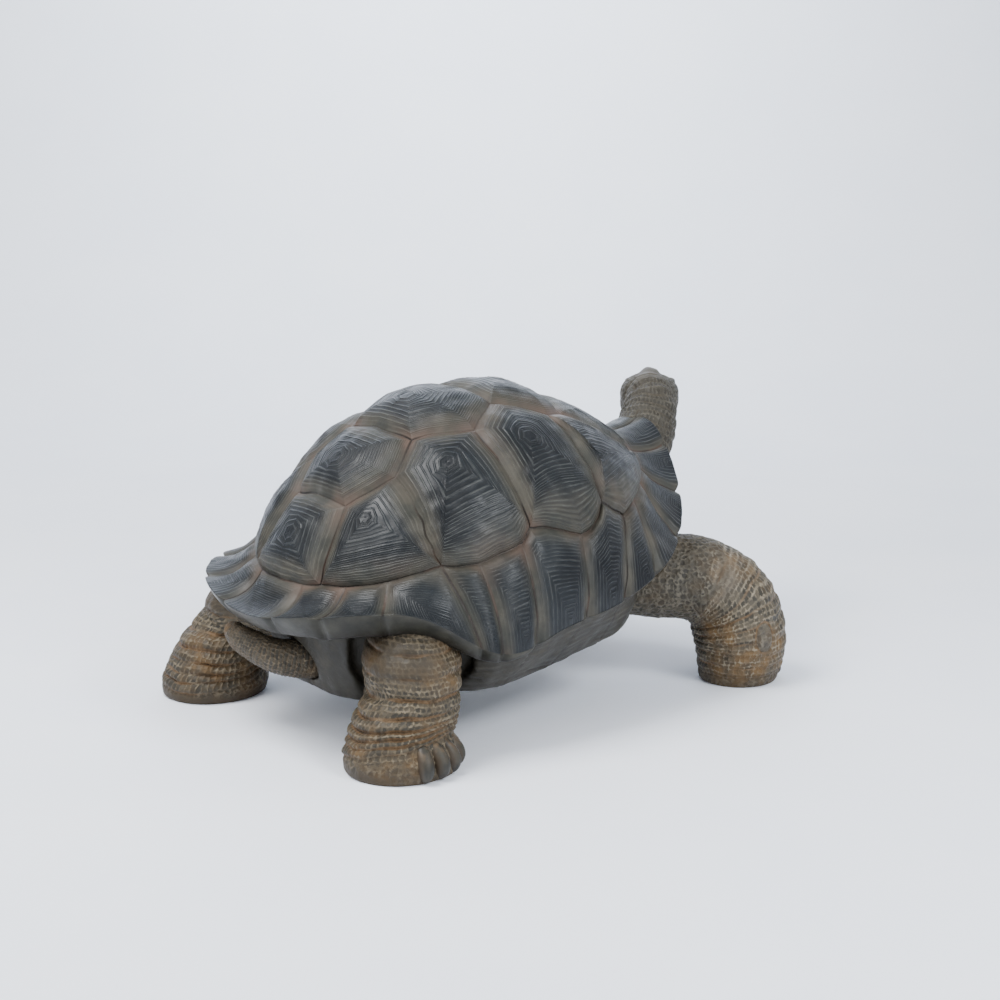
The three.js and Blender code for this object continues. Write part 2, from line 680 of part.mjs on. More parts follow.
const bent = (value) => Math.sign(value) * Math.abs(value) ** (2 / HEAD_SQUARE);

function skull() {
  const rows = [];
  for (let k = 0; k <= HEAD_STEPS; k++) {
    const share = k / HEAD_STEPS;
    const [, halfWidth, top, bottom] = headStation(share);
    const row = [];
    for (let i = 0; i < HEAD_SIDES; i++) {
      const turn = 2 * Math.PI * i / HEAD_SIDES;
      const up = bent(Math.sin(turn));
      const x = -halfWidth * bent(Math.cos(turn));
      const across = Math.exp(-((x / CROWN_WIDTH) ** 2));
      const crown = CROWN_HEIGHT * across * Math.sin(Math.PI * share) ** 2;
      row.push(vector(x, share * HEAD_LENGTH, up > 0 ? up * (top + crown) : -up * bottom));
    }
    rows.push(row);
  }
  return stacked(rows);
}

// Half the width of the head where an eye or the mouth lies.
function skinAt(share, height) {
  const [, halfWidth, top, bottom] = headStation(share);
  const up = Math.min(Math.abs(height / (height > 0 ? top : bottom)), 1);
  return halfWidth * (1 - up ** HEAD_SQUARE) ** (1 / HEAD_SQUARE);
}

const eyePlace = (side) => vector(
  side * (skinAt(EYE_ALONG, EYE_UP) - EYE_DEPTH), EYE_ALONG * HEAD_LENGTH, EYE_UP);

// The groove of the mouth: a thin band round the muzzle, a little higher at its corners.
function mouthCutter() {
  const inner = [];
  const outer = [];
  for (let k = -MOUTH_STEPS; k <= MOUTH_STEPS; k++) {
    const back = (1 - MOUTH_CORNER) * Math.abs(k) / MOUTH_STEPS;
    const share = Math.min(1 - back, MOUTH_FRONT);
    const side = Math.sign(k);
    const skin = skinAt(share, MOUTH_UP);
    const front = share * HEAD_LENGTH;
    inner.push([side * Math.max(skin - MOUTH_DEPTH, 0), front - (k === 0 ? MOUTH_DEPTH : 0)]);
    outer.push([side * (skin + 1.5 * MOUTH_DEPTH), front + MOUTH_DEPTH * (k === 0 ? 3 : 1)]);
  }
  const band = new THREE.Shape([...inner, ...outer.reverse()].map(([x, y]) => new THREE.Vector2(x, y)));
  const cutter = new THREE.ExtrudeGeometry(band, { depth: MOUTH_HEIGHT, bevelEnabled: false });
  const position = cutter.attributes.position;
  for (let i = 0; i < position.count; i++) {
    const back = 1 - position.getY(i) / HEAD_LENGTH;
    position.setZ(i, position.getZ(i) + MOUTH_UP + MOUTH_RISE * back * back);
  }
  return solidOf(cutter);
}

function ball(place, radii) {
  const made = new THREE.SphereGeometry(1, BALL_SIDES, BALL_RINGS);
  made.scale(...radii);
  made.translate(place.x, place.y, place.z);
  return solidOf(made);
}

function headSolid() {
  let head = solid(skull());
  for (const side of [1, -1]) {
    const eye = eyePlace(side);
    const lid = new THREE.TorusGeometry(EYE_RADIUS + GAP, LID_THICKNESS, 5, 16);
    lid.rotateY(Math.PI / 2);
    lid.translate(eye.x + side * LID_OUT, eye.y, eye.z);
    head = head.add(solidOf(lid));
    const [browOut, browAhead, browUp] = BROW_PLACE;
    head = head.add(ball(eye.clone().add(vector(side * browOut, browAhead, browUp)), BROW_SIZE));
    head = head.subtract(ball(eye, [1, 1, 1].map((r) => r * (EYE_RADIUS + GAP))));
    const [nostrilOut, nostrilAhead, nostrilUp] = NOSTRIL_PLACE;
    const nostril = vector(side * nostrilOut, nostrilAhead * HEAD_LENGTH, nostrilUp);
    head = head.subtract(ball(nostril, NOSTRIL_SIZE));
  }
  return head.subtract(mouthCutter());
}

// ---- assembly -----------------------------------------------------------------------------

const carapace = carapaceGeometry();
const aroundCarapace = solid(grown(carapace, GAP));

const torso = geometryOf(solid(torsoBlock()).subtract(aroundCarapace));
const aroundTorso = solid(grown(torso, GAP));

function pocket(stations, clearance, facing) {
  return solid(limb(stations, { sides: POCKET_SIDES, steps: POCKET_STEPS, wider: clearance, facing }));
}

const legPlan = (word, path, claws, side, aim) => ({ name: `leg_${word}`, path, claws, side, aim });
const LEGS = [
  legPlan('front_left', FRONT_LEG, FRONT_CLAWS, 1, FOOT_AIM.frontLeft),
  legPlan('front_right', mirrored(FRONT_LEG), FRONT_CLAWS, -1, FOOT_AIM.frontRight),
  legPlan('hind_left', stepped(HIND_LEG, STEP_BACK), HIND_CLAWS, 1, FOOT_AIM.hindLeft),
  legPlan('hind_right', mirrored(HIND_LEG), HIND_CLAWS, -1, FOOT_AIM.hindRight),
];

function plastronGeometry() {
  let body = solid(plastronBlock()).subtract(aroundCarapace).subtract(aroundTorso);
  for (const { path } of LEGS) body = body.subtract(pocket(path.slice(1), POCKET));
  body = body.subtract(pocket(NECK, NECK_POCKET));
  body = body.subtract(pocket(TAIL, TAIL_POCKET, UPRIGHT));
  return geometryOf(body);
}

const plastron = plastronGeometry();
const shellAndTorso = [aroundCarapace, aroundTorso, solid(grown(plastron, GAP))];
const clearOf = (body, others) => geometryOf(others.reduce((rest, other) => rest.subtract(other), body));

const head = geometryOf(headSolid());
const headPose = new THREE.Matrix4().compose(
  vector(...NAPE),
  new THREE.Quaternion().setFromEuler(
    new THREE.Euler(radians(HEAD_NOD), 0, radians(180 + HEAD_TURN), 'ZXY')),
  vector(1, 1, 1),
);
const aroundHead = solid(grown(head, GAP).applyMatrix4(headPose));

function material(colour, roughness) {
  return new THREE.MeshStandardMaterial({ color: colour, roughness, metalness: 0 });
}

function addPiece(parent, name, geometry, finish) {
  const mesh = new THREE.Mesh(geometry, finish);
  mesh.name = name;
  parent.add(mesh);
  return mesh;
}

const shellFinish = material(COLOURS.shell, 0.5);
const plastronFinish = material(COLOURS.plastron, 0.6);
const skinFinish = material(COLOURS.skin, 0.7);
const neckFinish = material(COLOURS.neck, 0.7);
const eyeFinish = material(COLOURS.eye, 0.15);

const tortoise = new THREE.Group();
addPiece(tortoise, 'carapace', carapace, shellFinish);
addPiece(tortoise, 'plastron', plastron, plastronFinish);
addPiece(tortoise, 'torso', torso, skinFinish);
const aroundLegs = [];
for (const leg of LEGS) {
  const geometry = clearOf(legSolid(leg), shellAndTorso);
  aroundLegs.push(solid(grown(geometry, GAP)));
  addPiece(tortoise, leg.name, geometry, skinFinish);
}
const tail = solid(limb(TAIL, { sides: TAIL_SIDES, steps: TUBE_STEPS, facing: UPRIGHT }));
addPiece(tortoise, 'tail', clearOf(tail, shellAndTorso), skinFinish);
const neck = solid(limb(NECK, { sides: NECK_SIDES, steps: TUBE_STEPS }));
addPiece(tortoise, 'neck', clearOf(neck, [...shellAndTorso, ...aroundLegs, aroundHead]), neckFinish);

const headGroup = new THREE.Group();
headGroup.applyMatrix4(headPose);
addPiece(headGroup, 'head', head, neckFinish);
for (const [side, word] of [[-1, 'left'], [1, 'right']]) {
  const eye = new THREE.SphereGeometry(EYE_RADIUS, BALL_SIDES, BALL_RINGS);
  addPiece(headGroup, `eye_${word}`, eye, eyeFinish).position.copy(eyePlace(side));
}
tortoise.add(headGroup);

// The origin is the middle of the footprint of the whole, on the floor.
const size = new THREE.Box3().setFromObject(tortoise, true);
const centre = size.getCenter(vector(0, 0, 0));
tortoise.position.set(-centre.x, -centre.y, 0);

export default tortoise;
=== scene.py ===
# %% [markdown]
# # A life-size giant tortoise statue
# The real thing is a painted resin casting: a domed shell with raised plates and growth lines,
# thick legs covered in small scales, and a long neck that turns to the animal's left.
# The shell could be sculpted by hand, but its plates follow simple rules, so here they are
# grown from a few tables of numbers. Every piece is placed in the same frame as the solid model
# that this script loads first, so nothing has to be fitted by eye.

# %% Load the solid model as a fixed frame
import json
import math

import bmesh
import bpy
import numpy as np
from mathutils import Matrix, Vector

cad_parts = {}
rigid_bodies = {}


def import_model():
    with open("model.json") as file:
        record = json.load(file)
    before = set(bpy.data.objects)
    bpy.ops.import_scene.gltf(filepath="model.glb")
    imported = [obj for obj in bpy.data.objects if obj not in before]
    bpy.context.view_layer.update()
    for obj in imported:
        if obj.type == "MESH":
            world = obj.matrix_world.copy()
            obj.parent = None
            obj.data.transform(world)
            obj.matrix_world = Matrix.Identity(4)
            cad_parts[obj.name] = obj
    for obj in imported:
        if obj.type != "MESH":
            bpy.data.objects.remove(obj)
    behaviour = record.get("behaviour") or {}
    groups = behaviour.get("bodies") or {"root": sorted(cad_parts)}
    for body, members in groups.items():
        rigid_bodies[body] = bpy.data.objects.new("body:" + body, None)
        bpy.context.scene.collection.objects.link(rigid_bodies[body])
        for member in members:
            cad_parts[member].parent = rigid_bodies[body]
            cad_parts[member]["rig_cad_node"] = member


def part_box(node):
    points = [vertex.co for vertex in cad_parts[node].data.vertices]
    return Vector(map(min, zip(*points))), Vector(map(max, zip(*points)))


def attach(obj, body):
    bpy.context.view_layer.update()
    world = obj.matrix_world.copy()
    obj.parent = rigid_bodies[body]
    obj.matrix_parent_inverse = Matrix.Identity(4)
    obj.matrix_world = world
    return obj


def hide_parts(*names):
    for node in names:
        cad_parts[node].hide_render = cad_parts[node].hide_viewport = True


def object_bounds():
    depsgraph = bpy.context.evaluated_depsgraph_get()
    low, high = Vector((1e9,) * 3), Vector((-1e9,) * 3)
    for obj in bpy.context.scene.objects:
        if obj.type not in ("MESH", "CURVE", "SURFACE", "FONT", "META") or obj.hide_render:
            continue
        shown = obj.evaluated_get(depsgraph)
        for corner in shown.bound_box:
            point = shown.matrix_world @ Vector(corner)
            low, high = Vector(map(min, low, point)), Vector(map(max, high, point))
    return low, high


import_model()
cad_low, cad_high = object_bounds()

# %% [markdown]
# Sizes are written in millimetres, as the sculptor would measure them, and turned into metres
# when a mesh is made. The tables are laid out round the shell's upright middle axis. The loaded
# shell tells where that axis stands in the frame: half way between its sides, and a known
# reach in front of its tail end.

# %% The shell's middle axis in the frame
MM = 0.001
TAIL_REACH = 446.9      # from the shell's middle axis back to the border over the tail

shell_low, shell_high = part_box("carapace")
AXIS = np.array([
    (shell_low.x + shell_high.x) / 2,
    shell_high.y - TAIL_REACH * MM,
    0.0,
])
print("shell axis stands at", AXIS.round(4))

# %% [markdown]
# The camera comes first, because it says which details matter. It stands behind the animal's
# right hip, a little above the shell, as someone crouching to look at it would.

# %% Camera
CAMERA_AT = (-2.566, 1.948, 1.079)      # metres from the shell's axis
LOOK_AT = (-0.060, -0.081, 0.376)
SENSOR = 36.0
LENS = 63.25


def point_at(thing, target):
    way = Vector(target) - thing.location
    thing.rotation_euler = way.to_track_quat("-Z", "Y").to_euler()


def in_frame(metres):
    return Vector(metres) + Vector(AXIS)


camera_data = bpy.data.cameras.new("camera")
camera_data.sensor_width = SENSOR
camera_data.lens = LENS
camera = bpy.data.objects.new("camera", camera_data)
bpy.context.collection.objects.link(camera)
camera.location = in_frame(CAMERA_AT)
point_at(camera, in_frame(LOOK_AT))
bpy.context.scene.camera = camera
print("camera stands", round((camera.location - in_frame(LOOK_AT)).length, 2), "m away")

# %% [markdown]
# A few small helpers carry the whole file. One reads a table smoothly at any angle, one makes
# soft waves that look random but are the same on every run, and the rest turn arrays of points
# into a mesh. Arrays are used in place of modelling steps because the shell alone has about
# 370,000 points. Values that the paint needs, such as how near a seam is, are stored on them.

# %% Helpers for tables and waves
STATION_STEP = 22.5     # degrees between the stations of a table, from the tail to the neck


def smooth(a, b, c, d, w):
    """A curve through four values, read between the middle two."""
    return 0.5 * (
        2 * b + (c - a) * w + (2 * a - 5 * b + 4 * c - d) * w**2 + (3 * b - a - 3 * c + d) * w**3
    )


def around(table, degrees):
    """The value of a station table at each angle, the same on both sides."""
    table = np.asarray(table, float)
    last = len(table) - 1
    x = np.abs((np.asarray(degrees, float) + 180) % 360 - 180) / STATION_STEP
    i = np.minimum(x.astype(int), last - 1)

    def at(k):
        k = np.abs(k)
        return table[np.where(k > last, 2 * last - k, k)]

    return smooth(at(i - 1), at(i), at(i + 1), at(i + 2), x - i)


def step(low, high, x):
    """0 below low, 1 above high, and smooth between."""
    w = np.clip((x - low) / (high - low), 0, 1)
    return w * w * (3 - 2 * w)


def bell(x, width):
    """1 where x is 0, falling off to both sides within about the width."""
    return np.exp(-((x / width) ** 2))


def unit(ways):
    """The same ways, each with a length of 1."""
    return ways / np.linalg.norm(ways, axis=-1, keepdims=True)


def waves(points, size, seed, count=7):
    """Soft seeded waves between about -1 and 1, with the given size in the points' units."""
    draw = np.random.default_rng(seed)
    points = np.atleast_2d(points)
    total = np.zeros(len(points))
    for _ in range(count):
        way = draw.normal(size=points.shape[1])
        way *= draw.uniform(0.7, 1.5) / np.linalg.norm(way)
        total += np.sin(points @ way * (2 * math.pi / size) + draw.uniform(0, 2 * math.pi))
    return total / math.sqrt(count)


print("a soft wave at three places:", waves(np.eye(3), 2.0, 1).round(2))

# %% [markdown]
# A mesh is a list of points, a list of corners and a list that says where each face starts in
# it. Filling those lists at once is much faster than adding faces one by one. Most surfaces here
# are grids: rows of points, one behind the other.

# %% Helpers for meshes
def make_mesh(name, points, face_sets, values=None):
    """An object from points in millimetres round the shell's axis and sets of faces. Each set is
    an array whose faces have the same number of corners. The values are for the paint."""
    mesh = bpy.data.meshes.new(name)
    mesh.vertices.add(len(points))
    mesh.vertices.foreach_set("co", (points * MM + AXIS).astype(np.float32).ravel())
    corners = np.concatenate([faces.ravel() for faces in face_sets])
    sizes = np.concatenate([np.full(len(faces), faces.shape[1]) for faces in face_sets])
    mesh.loops.add(len(corners))
    mesh.loops.foreach_set("vertex_index", corners.astype(np.int32))
    mesh.polygons.add(len(sizes))
    mesh.polygons.foreach_set("loop_start", (np.cumsum(sizes) - sizes).astype(np.int32))
    mesh.update(calc_edges=True)
    mesh.validate()
    mesh.shade_smooth()
    for key, array in (values or {}).items():
        layer = mesh.attributes.new(key, "FLOAT", "POINT")
        layer.data.foreach_set("value", array.astype(np.float32))
    thing = bpy.data.objects.new(name, mesh)
    bpy.context.collection.objects.link(thing)
    return thing


def grid_faces(rows, columns, closed=False):
    """Four-sided faces between rows of points, wrapped round where the rows are closed."""
    wide = columns if closed else columns - 1
    row, i = np.meshgrid(np.arange(rows - 1) * columns, np.arange(wide), indexing="ij")
    j = (i + 1) % columns
    return np.stack([row + i, row + j, row + columns + j, row + columns + i], -1).reshape(-1, 4)


def tube_faces(rows, columns):
    """The faces of a tube of rows of points, and one face over each end."""
    first = np.arange(columns)
    ends = np.stack([first[::-1], first + (rows - 1) * columns])
    return [grid_faces(rows, columns, closed=True), ends]


class Gathered:
    """Collects the parts of one mesh, with the same paint values on each."""

    def __init__(self):
        self.points, self.face_sets, self.values, self.count = [], [], [], 0

    def add(self, points, face_sets, values=None):
        self.face_sets += [faces + self.count for faces in face_sets]
        self.points.append(points)
        self.values.append(values or {})
        self.count += len(points)

    def object(self, name):
        values = {key: np.concatenate([part[key] for part in self.values]) for key in self.values[0]}
        return make_mesh(name, np.concatenate(self.points), self.face_sets, values)


print("faces of a grid of 3 rows of 4 points:", len(grid_faces(3, 4)))

# %% [markdown]
# Relief is raised on every surface, and nothing may stand out of the solid model's box. So the
# finished points are held a hair inside it.

# %% Hold points inside the solid model's box
HAIR = 0.2              # millimetres kept free all round

box_low = (np.array(cad_low) - AXIS) / MM + [HAIR, HAIR, 0]
box_high = (np.array(cad_high) - AXIS) / MM - HAIR


def held(points):
    return np.clip(points, box_low, box_high)


print("room for the shell and the skin, in mm:", (box_high - box_low).round(1))

# %% [markdown]
# ## The dome of the shell
# A real tortoise's upper shell is a dome of bone under thin horny plates. Its plain form comes
# first: at each angle it falls from the top to the seam along a cosine, a little fuller than a
# ball. Plates are drawn on a flat disc, where the way out is the share of the fall and the way
# round is the angle, and then laid on the dome.

# %% Tables and formula of the dome
SEAM_RADIUS = [373, 363, 340, 314, 299, 325, 352, 375, 386]
SEAM_HEIGHT = [291, 293, 322, 338, 364, 353, 387, 428, 466]
DOME_POWER = [1.45, 1.45, 1.42, 1.4, 1.4, 1.42, 1.6, 2.1, 2.5]
DOME_TOP = 584
DOME_ROUND = 0.964
DOME_SHIFT = -34        # the dome's middle lies this far towards the neck


def on_disc(degrees, share):
    a = np.radians(degrees)
    return np.stack([share * np.sin(a), share * np.cos(a)], -1)


def on_dome(places):
    """Points of the plain dome for places on the disc."""
    degrees = np.degrees(np.arctan2(places[..., 0], places[..., 1]))
    share = np.hypot(places[..., 0], places[..., 1])
    rise = np.cos(share * math.pi / 2)
    seam = around(SEAM_HEIGHT, degrees)
    radius = around(SEAM_RADIUS, degrees) * np.abs(np.sin(share * math.pi / 2)) ** DOME_ROUND
    lift = np.maximum(rise, 0) ** around(DOME_POWER, degrees)
    a = np.radians(degrees)
    return np.stack(
        [radius * np.sin(a), radius * np.cos(a) + DOME_SHIFT * rise, seam + (DOME_TOP - seam) * lift], -1
    )


def dome_normals(places):
    near = 0.01
    side, front = np.array([near, 0]), np.array([0, near])
    across = on_dome(places + side) - on_dome(places - side)
    along = on_dome(places + front) - on_dome(places - front)
    return unit(np.cross(across, along))


print("dome rises to", DOME_TOP, "mm, its seam runs at", min(SEAM_HEIGHT), "to", max(SEAM_HEIGHT), "mm")

# %% [markdown]
# Five plates run down the middle of the back and four along each side. Their corners are named
# after the plates that meet there. Every plate knows its corners, and an edge between two
# corners is either straight on the disc or follows the seam line at the dome's foot.

# %% Corners and outlines of the plates
V1_V2, V2_SIDE, V2_V3 = (139, 0.345), (127, 0.325), (90, 0.19)
V3_SIDE, V3_V4 = (62, 0.342), (28, 0.363)
V4_SIDE, V4_V5 = (28.5, 0.511), (14.5, 0.618)
SEAM_LINE = [
    (0, 1), (10.5, 1), (16, 0.97), (24, 0.98), (36, 1), (51, 0.955), (63, 1), (70, 0.95),
    (78, 0.95), (81, 0.86), (103, 1), (114.5, 0.785), (121, 0.88), (125, 0.98), (134, 0.96),
    (146, 0.97), (156, 1), (166, 1), (180, 1),
]
V5_FOOT, C4_FOOT, C3_FOOT, C2_FOOT, C1_FOOT = (SEAM_LINE[i] for i in (2, 5, 9, 11, 17))


def six_corners(front, side, back):
    """The corners of a plate on the back, each with 1 for its left and -1 for its right side."""
    return [(front, 1), (front, -1), (side, -1), (back, -1), (back, 1), (side, 1)]


# Each plate: its corners, the place of the small old plate that it grew from, and its hump.
MIDDLE_PLATES = {
    "V1": ([(C1_FOOT, 1), (C1_FOOT, -1), (V1_V2, -1), (V1_V2, 1)], (180, 0.56), 9),
    "V2": (six_corners(V1_V2, V2_SIDE, V2_V3), (180, 0.13), 17.5),
    "V3": (six_corners(V2_V3, V3_SIDE, V3_V4), (0, 0.19), 18.5),
    "V4": (six_corners(V3_V4, V4_SIDE, V4_V5), (0, 0.48), 16),
    "V5": ([(V4_V5, 1), (V4_V5, -1), (V5_FOOT, -1), (V5_FOOT, 1)], (0, 0.76), 11),
}
SIDE_PLATES = {
    "C1": ([C1_FOOT, V1_V2, V2_SIDE, C2_FOOT], (123, 0.59), 11),
    "C2": ([C2_FOOT, V2_SIDE, V2_V3, V3_SIDE, C3_FOOT], (91, 0.457), 14),
    "C3": ([C3_FOOT, V3_SIDE, V3_V4, V4_SIDE, C4_FOOT], (48.5, 0.50), 14),
    "C4": ([C4_FOOT, V4_SIDE, V4_V5, V5_FOOT], (25, 0.672), 12),
}
EDGE_STEP = 3.0         # millimetres between the points of a plate's outline
WANDER = 0.0035         # how far the seams wander from their rule, on the disc


def wandered(places):
    """Seams of a casting are never quite straight: both neighbours move in the same way."""
    return places + WANDER * np.stack([waves(places, 0.16, 11), waves(places, 0.16, 12)], -1)


def stretch(start, end, on_seam):
    """Places from start to end, each (degrees, share), in steps of EDGE_STEP."""
    ends = on_disc(np.array([start[0], end[0]]), np.array([start[1], end[1]]))
    length = np.linalg.norm(np.subtract(*on_dome(ends)))
    w = np.linspace(0, 1, max(2, round(length / EDGE_STEP) + 1))[:, None]
    if on_seam:
        line = np.array(start) * (1 - w) + np.array(end) * w
        return on_disc(line[:, 0], line[:, 1])
    return ends[0] * (1 - w) + ends[1] * w


def seam_run(first, last, side):
    """The seam line between two of its corners, on one side of the shell."""
    way = 1 if last > first else -1
    pieces = []
    for i in range(first, last, way):
        a, b = SEAM_LINE[i], SEAM_LINE[i + way]
        pieces.append(stretch((side * a[0], a[1]), (side * b[0], b[1]), True)[:-1])
    end, share = SEAM_LINE[last]
    return np.concatenate(pieces + [on_disc(side * end, share)[None]])


def edge(a, b):
    """Places along a plate's edge from corner a to corner b."""
    (at_a, side_a), (at_b, side_b) = a, b
    if at_a in SEAM_LINE and at_b in SEAM_LINE:
        i, k = SEAM_LINE.index(at_a), SEAM_LINE.index(at_b)
        if side_a == side_b:
            return seam_run(i, k, side_a)
        end = 0 if i < len(SEAM_LINE) / 2 else len(SEAM_LINE) - 1
        return np.concatenate([seam_run(i, end, side_a)[:-1], seam_run(end, k, side_b)])
    return stretch((side_a * at_a[0], at_a[1]), (side_b * at_b[0], at_b[1]), False)


def outline(corners):
    """The plate's outline, and the plain figure with the same corners and as many points."""
    true, plain = [], []
    for a, b in zip(corners, corners[1:] + corners[:1]):
        run = edge(a, b)
        w = np.linspace(0, 1, len(run))[:-1, None]
        true.append(run[:-1])
        plain.append(run[0] * (1 - w) + run[-1] * w)
    return wandered(np.concatenate(true)), np.concatenate(plain)


print("plates on the dome:", len(MIDDLE_PLATES) + 2 * len(SIDE_PLATES))

# %% [markdown]
# ## Growth lines
# A plate grows by adding a strip all round, so its lines are smaller copies of its outline
# about the old plate in its middle. Each line becomes its own rows of the mesh, which keeps
# thin ridges sharp with few faces. Every third line is a strong one: where a plate is narrow and
# its lines crowd, only the strong ones are seen.

# %% Where the growth lines lie
LINES = 24              # growth lines on a plate
STRONG = 3              # every third line is a strong one
CROWDED, ROOMY = 2.6, 4.6   # spacing of the lines in millimetres, from crowded to roomy
FIRST_LINE, LAST_LINE = 0.965, 0.16     # share of the plate's size at the outer and inner line
LINE_GAP = (FIRST_LINE - LAST_LINE) / LINES
FOOT_ASIDE = 0.24       # the feet of a line lie this share of the gap beside its top
ROWS_AT_SEAM = [1, 0.996, 0.991, 0.985, 0.979]
ROWS_IN_MIDDLE = [0.09, 0.045, 0.02]


def line_places(seed):
    """Shares of the growth lines from the edge inwards, unevenly spaced as years are."""
    draw = np.random.default_rng(seed)
    gaps = draw.uniform(0.8, 1.2, LINES) * np.linspace(1, 1.5, LINES)
    places = FIRST_LINE - (FIRST_LINE - LAST_LINE) * np.cumsum(gaps) / gaps.sum()
    return np.concatenate([[FIRST_LINE], places])


def row_places(lines):
    """Shares of the mesh rows: fine near the seam, then foot, top and foot of every line."""
    on_lines = [share + k * LINE_GAP for share in lines for k in (FOOT_ASIDE, 0, -FOOT_ASIDE)]
    return np.array(ROWS_AT_SEAM + on_lines + ROWS_IN_MIDDLE)


def ridge_at(shares, lines):
    """How much a share lies on a strong growth line and on any other, from 0 to 1."""
    near = bell(shares[:, None] - lines, 0.2 * LINE_GAP)
    strong = np.arange(len(lines)) % STRONG == 0
    return near[:, strong].max(1), near[:, ~strong].max(1)


def line_number(share, lines):
    """The growth line at each share, counted from the seam, with the way to the next one."""
    number = np.interp(-share, -lines, np.arange(len(lines)))
    number = np.where(share > lines[0], (lines[0] - share) / 0.05, number)
    return number + 0.5 * np.clip((lines[-1] - share) / lines[-1], 0, 1)


print("rows of mesh on a plate:", len(row_places(line_places(0))))

# %% [markdown]
# The outer lines follow the plate's true outline, further in they take a plainer figure with
# straight edges, and the old plate in the middle is a hexagon. The seam between two plates is a
# soft valley with a crack at its bottom, and its width is measured in millimetres, not as a
# share of the plate, so that all seams look alike.

# %% Figure and seams of a plate
CORE_FROM, CORE_TO = 0.97, 0.62         # between these the lines take the plain figure
OLD_FROM, OLD_TO = 0.50, 0.18           # and here they turn to the old plate's hexagon
OLD_SIZE = 1.15         # of the hexagon, over the shortest way from the old plate to an edge
GROOVE = 2.6            # depth of the valley at a seam
SHOULDER = 3.2          # height of a plate's edge over the plain dome
VALLEY = 25.0           # half the valley's width
CRACK = 1.3             # extra depth of the crack
CRACK_WIDTH = 1.5
SEAM_SEED = 17
SOFTEN = 9              # edge distances are softened over this many points of the outline


def nested(shares, true, plain, heart):
    """Rows of a plate: its true outline outside, its plain figure inside, a hexagon in the middle."""
    way = plain - heart
    reach = np.hypot(*way.T)
    sixth = math.pi / 3
    turn = np.arctan2(*way.T) % sixth - sixth / 2
    size = OLD_SIZE * reach.min() * math.cos(sixth / 2) / np.cos(turn)
    hexagon = way / reach[:, None] * size[:, None]
    core = step(CORE_FROM, CORE_TO, shares)[:, None, None]
    old = step(OLD_FROM, OLD_TO, shares)[:, None, None]
    figure = (true - heart) * (1 - core) + (way * (1 - old) + hexagon * old) * core
    return heart + shares[:, None, None] * figure


def sharpness(places):
    """How sharp a seam is: a crack along the foot of the dome, a soft valley higher up."""
    foot = step(0.60, 0.95, np.hypot(*places.T))
    return np.clip(0.12 + 0.62 * foot + 0.35 * waves(places, 0.35, SEAM_SEED), 0.05, 1)


def edge_distances(points, heart):
    """Distance from the old plate to the line of each stretch of the outline, softened."""
    along = unit(np.roll(points, -3, 0) - np.roll(points, 3, 0))
    way = points - heart
    distance = np.linalg.norm(way - (way * along).sum(1, keepdims=True) * along, axis=1)
    half = SOFTEN // 2
    padded = np.concatenate([distance[-half:], distance, distance[:half]])
    return np.convolve(padded, np.ones(SOFTEN) / SOFTEN, "valid")


def seam_valley(gap, cracked, shoulder):
    """Height beside a seam, from the crack at its bottom up to the plate's shoulder."""
    rise = np.sin(np.clip(gap / VALLEY, 0, 1) * math.pi / 2) ** 1.3
    return -GROOVE + (GROOVE + shoulder) * rise - cracked * CRACK * bell(gap, CRACK_WIDTH)


print("the bottom of a seam lies at", seam_valley(0, 1, SHOULDER).round(1), "mm")

# %% [markdown]
# Now a plate can be raised: its rows are laid on the disc, drift a little, and are lifted off
# the dome by the valley at the seam, the plate's own hump and its lines. A plain fan of
# triangles closes the middle. The paint values are worked out from the same numbers.

# %% One raised plate
RIDGE = 0.75            # height of a growth line
SOFT_SEAM = 7.0         # on a soft seam the lines begin this far from it
MEETING = 0.075         # reach of the rust where plates meet, on the disc
CALM_TO = 12            # the plate's own waves begin this far from the seam
HUMP_POWER = 1.7


def plate_mesh(true, plain, corners, heart, hump, seed):
    """Points, sets of faces and paint values of one raised plate."""
    lines = line_places(seed)
    shares = row_places(lines)
    count = len(true)
    share = np.repeat(shares, count)
    flat = nested(shares, true, plain, heart).reshape(-1, 2)
    drift = 0.0040 * waves(flat, 0.2, seed + 1) + 0.0012 * waves(flat, 0.05, seed + 2)
    flat = heart + (flat - heart) * (1 + drift * step(1, 0.93, share))[:, None]

    away = np.tile(edge_distances(on_dome(true), on_dome(heart[None])[0]), len(shares))
    gap = (1 - share) * away
    cracked = sharpness(flat)
    spread = step(CROWDED, ROOMY, away * LINE_GAP)
    strong, other = (np.repeat(near, count) for near in ridge_at(shares, lines))
    line = (strong + other * spread) * step(0, 7, gap - SOFT_SEAM * (1 - cracked) - 3)
    strength = np.clip(0.7 + 0.4 * waves(flat, 0.09, seed + 3), 0.15, 1.2)
    strength = strength * (0.45 + 0.55 * step(8, 38, gap))
    height = seam_valley(gap, cracked, SHOULDER) + hump * (1 - share**HUMP_POWER)
    height = height + RIDGE * line * strength
    height = height + 0.5 * waves(flat, 0.09, seed + 4) * step(0, CALM_TO, gap)

    points = on_dome(flat) + dome_normals(flat) * height[:, None]
    centre = on_dome(heart[None]) + dome_normals(heart[None]) * (SHOULDER + hump)
    last = (len(shares) - 1) * count + np.arange(count)
    fan = np.stack([last, np.roll(last, -1), np.full(count, len(points))], -1)
    from_corner = np.min([np.hypot(*(flat - corner).T) for corner in corners], axis=0)
    values = {
        "gap": gap,
        "ring": line_number(share, lines),
        "inner": 1 - share,
        "cracked": cracked,
        "spread": spread,
        "meet": bell(from_corner, MEETING),
        "under": 0 * gap,
        "bold": 0 * gap + 1,
    }
    values = {key: np.append(array, array[-1]) for key, array in values.items()}
    return np.concatenate([points, centre]), [grid_faces(len(shares), count, closed=True), fan], values


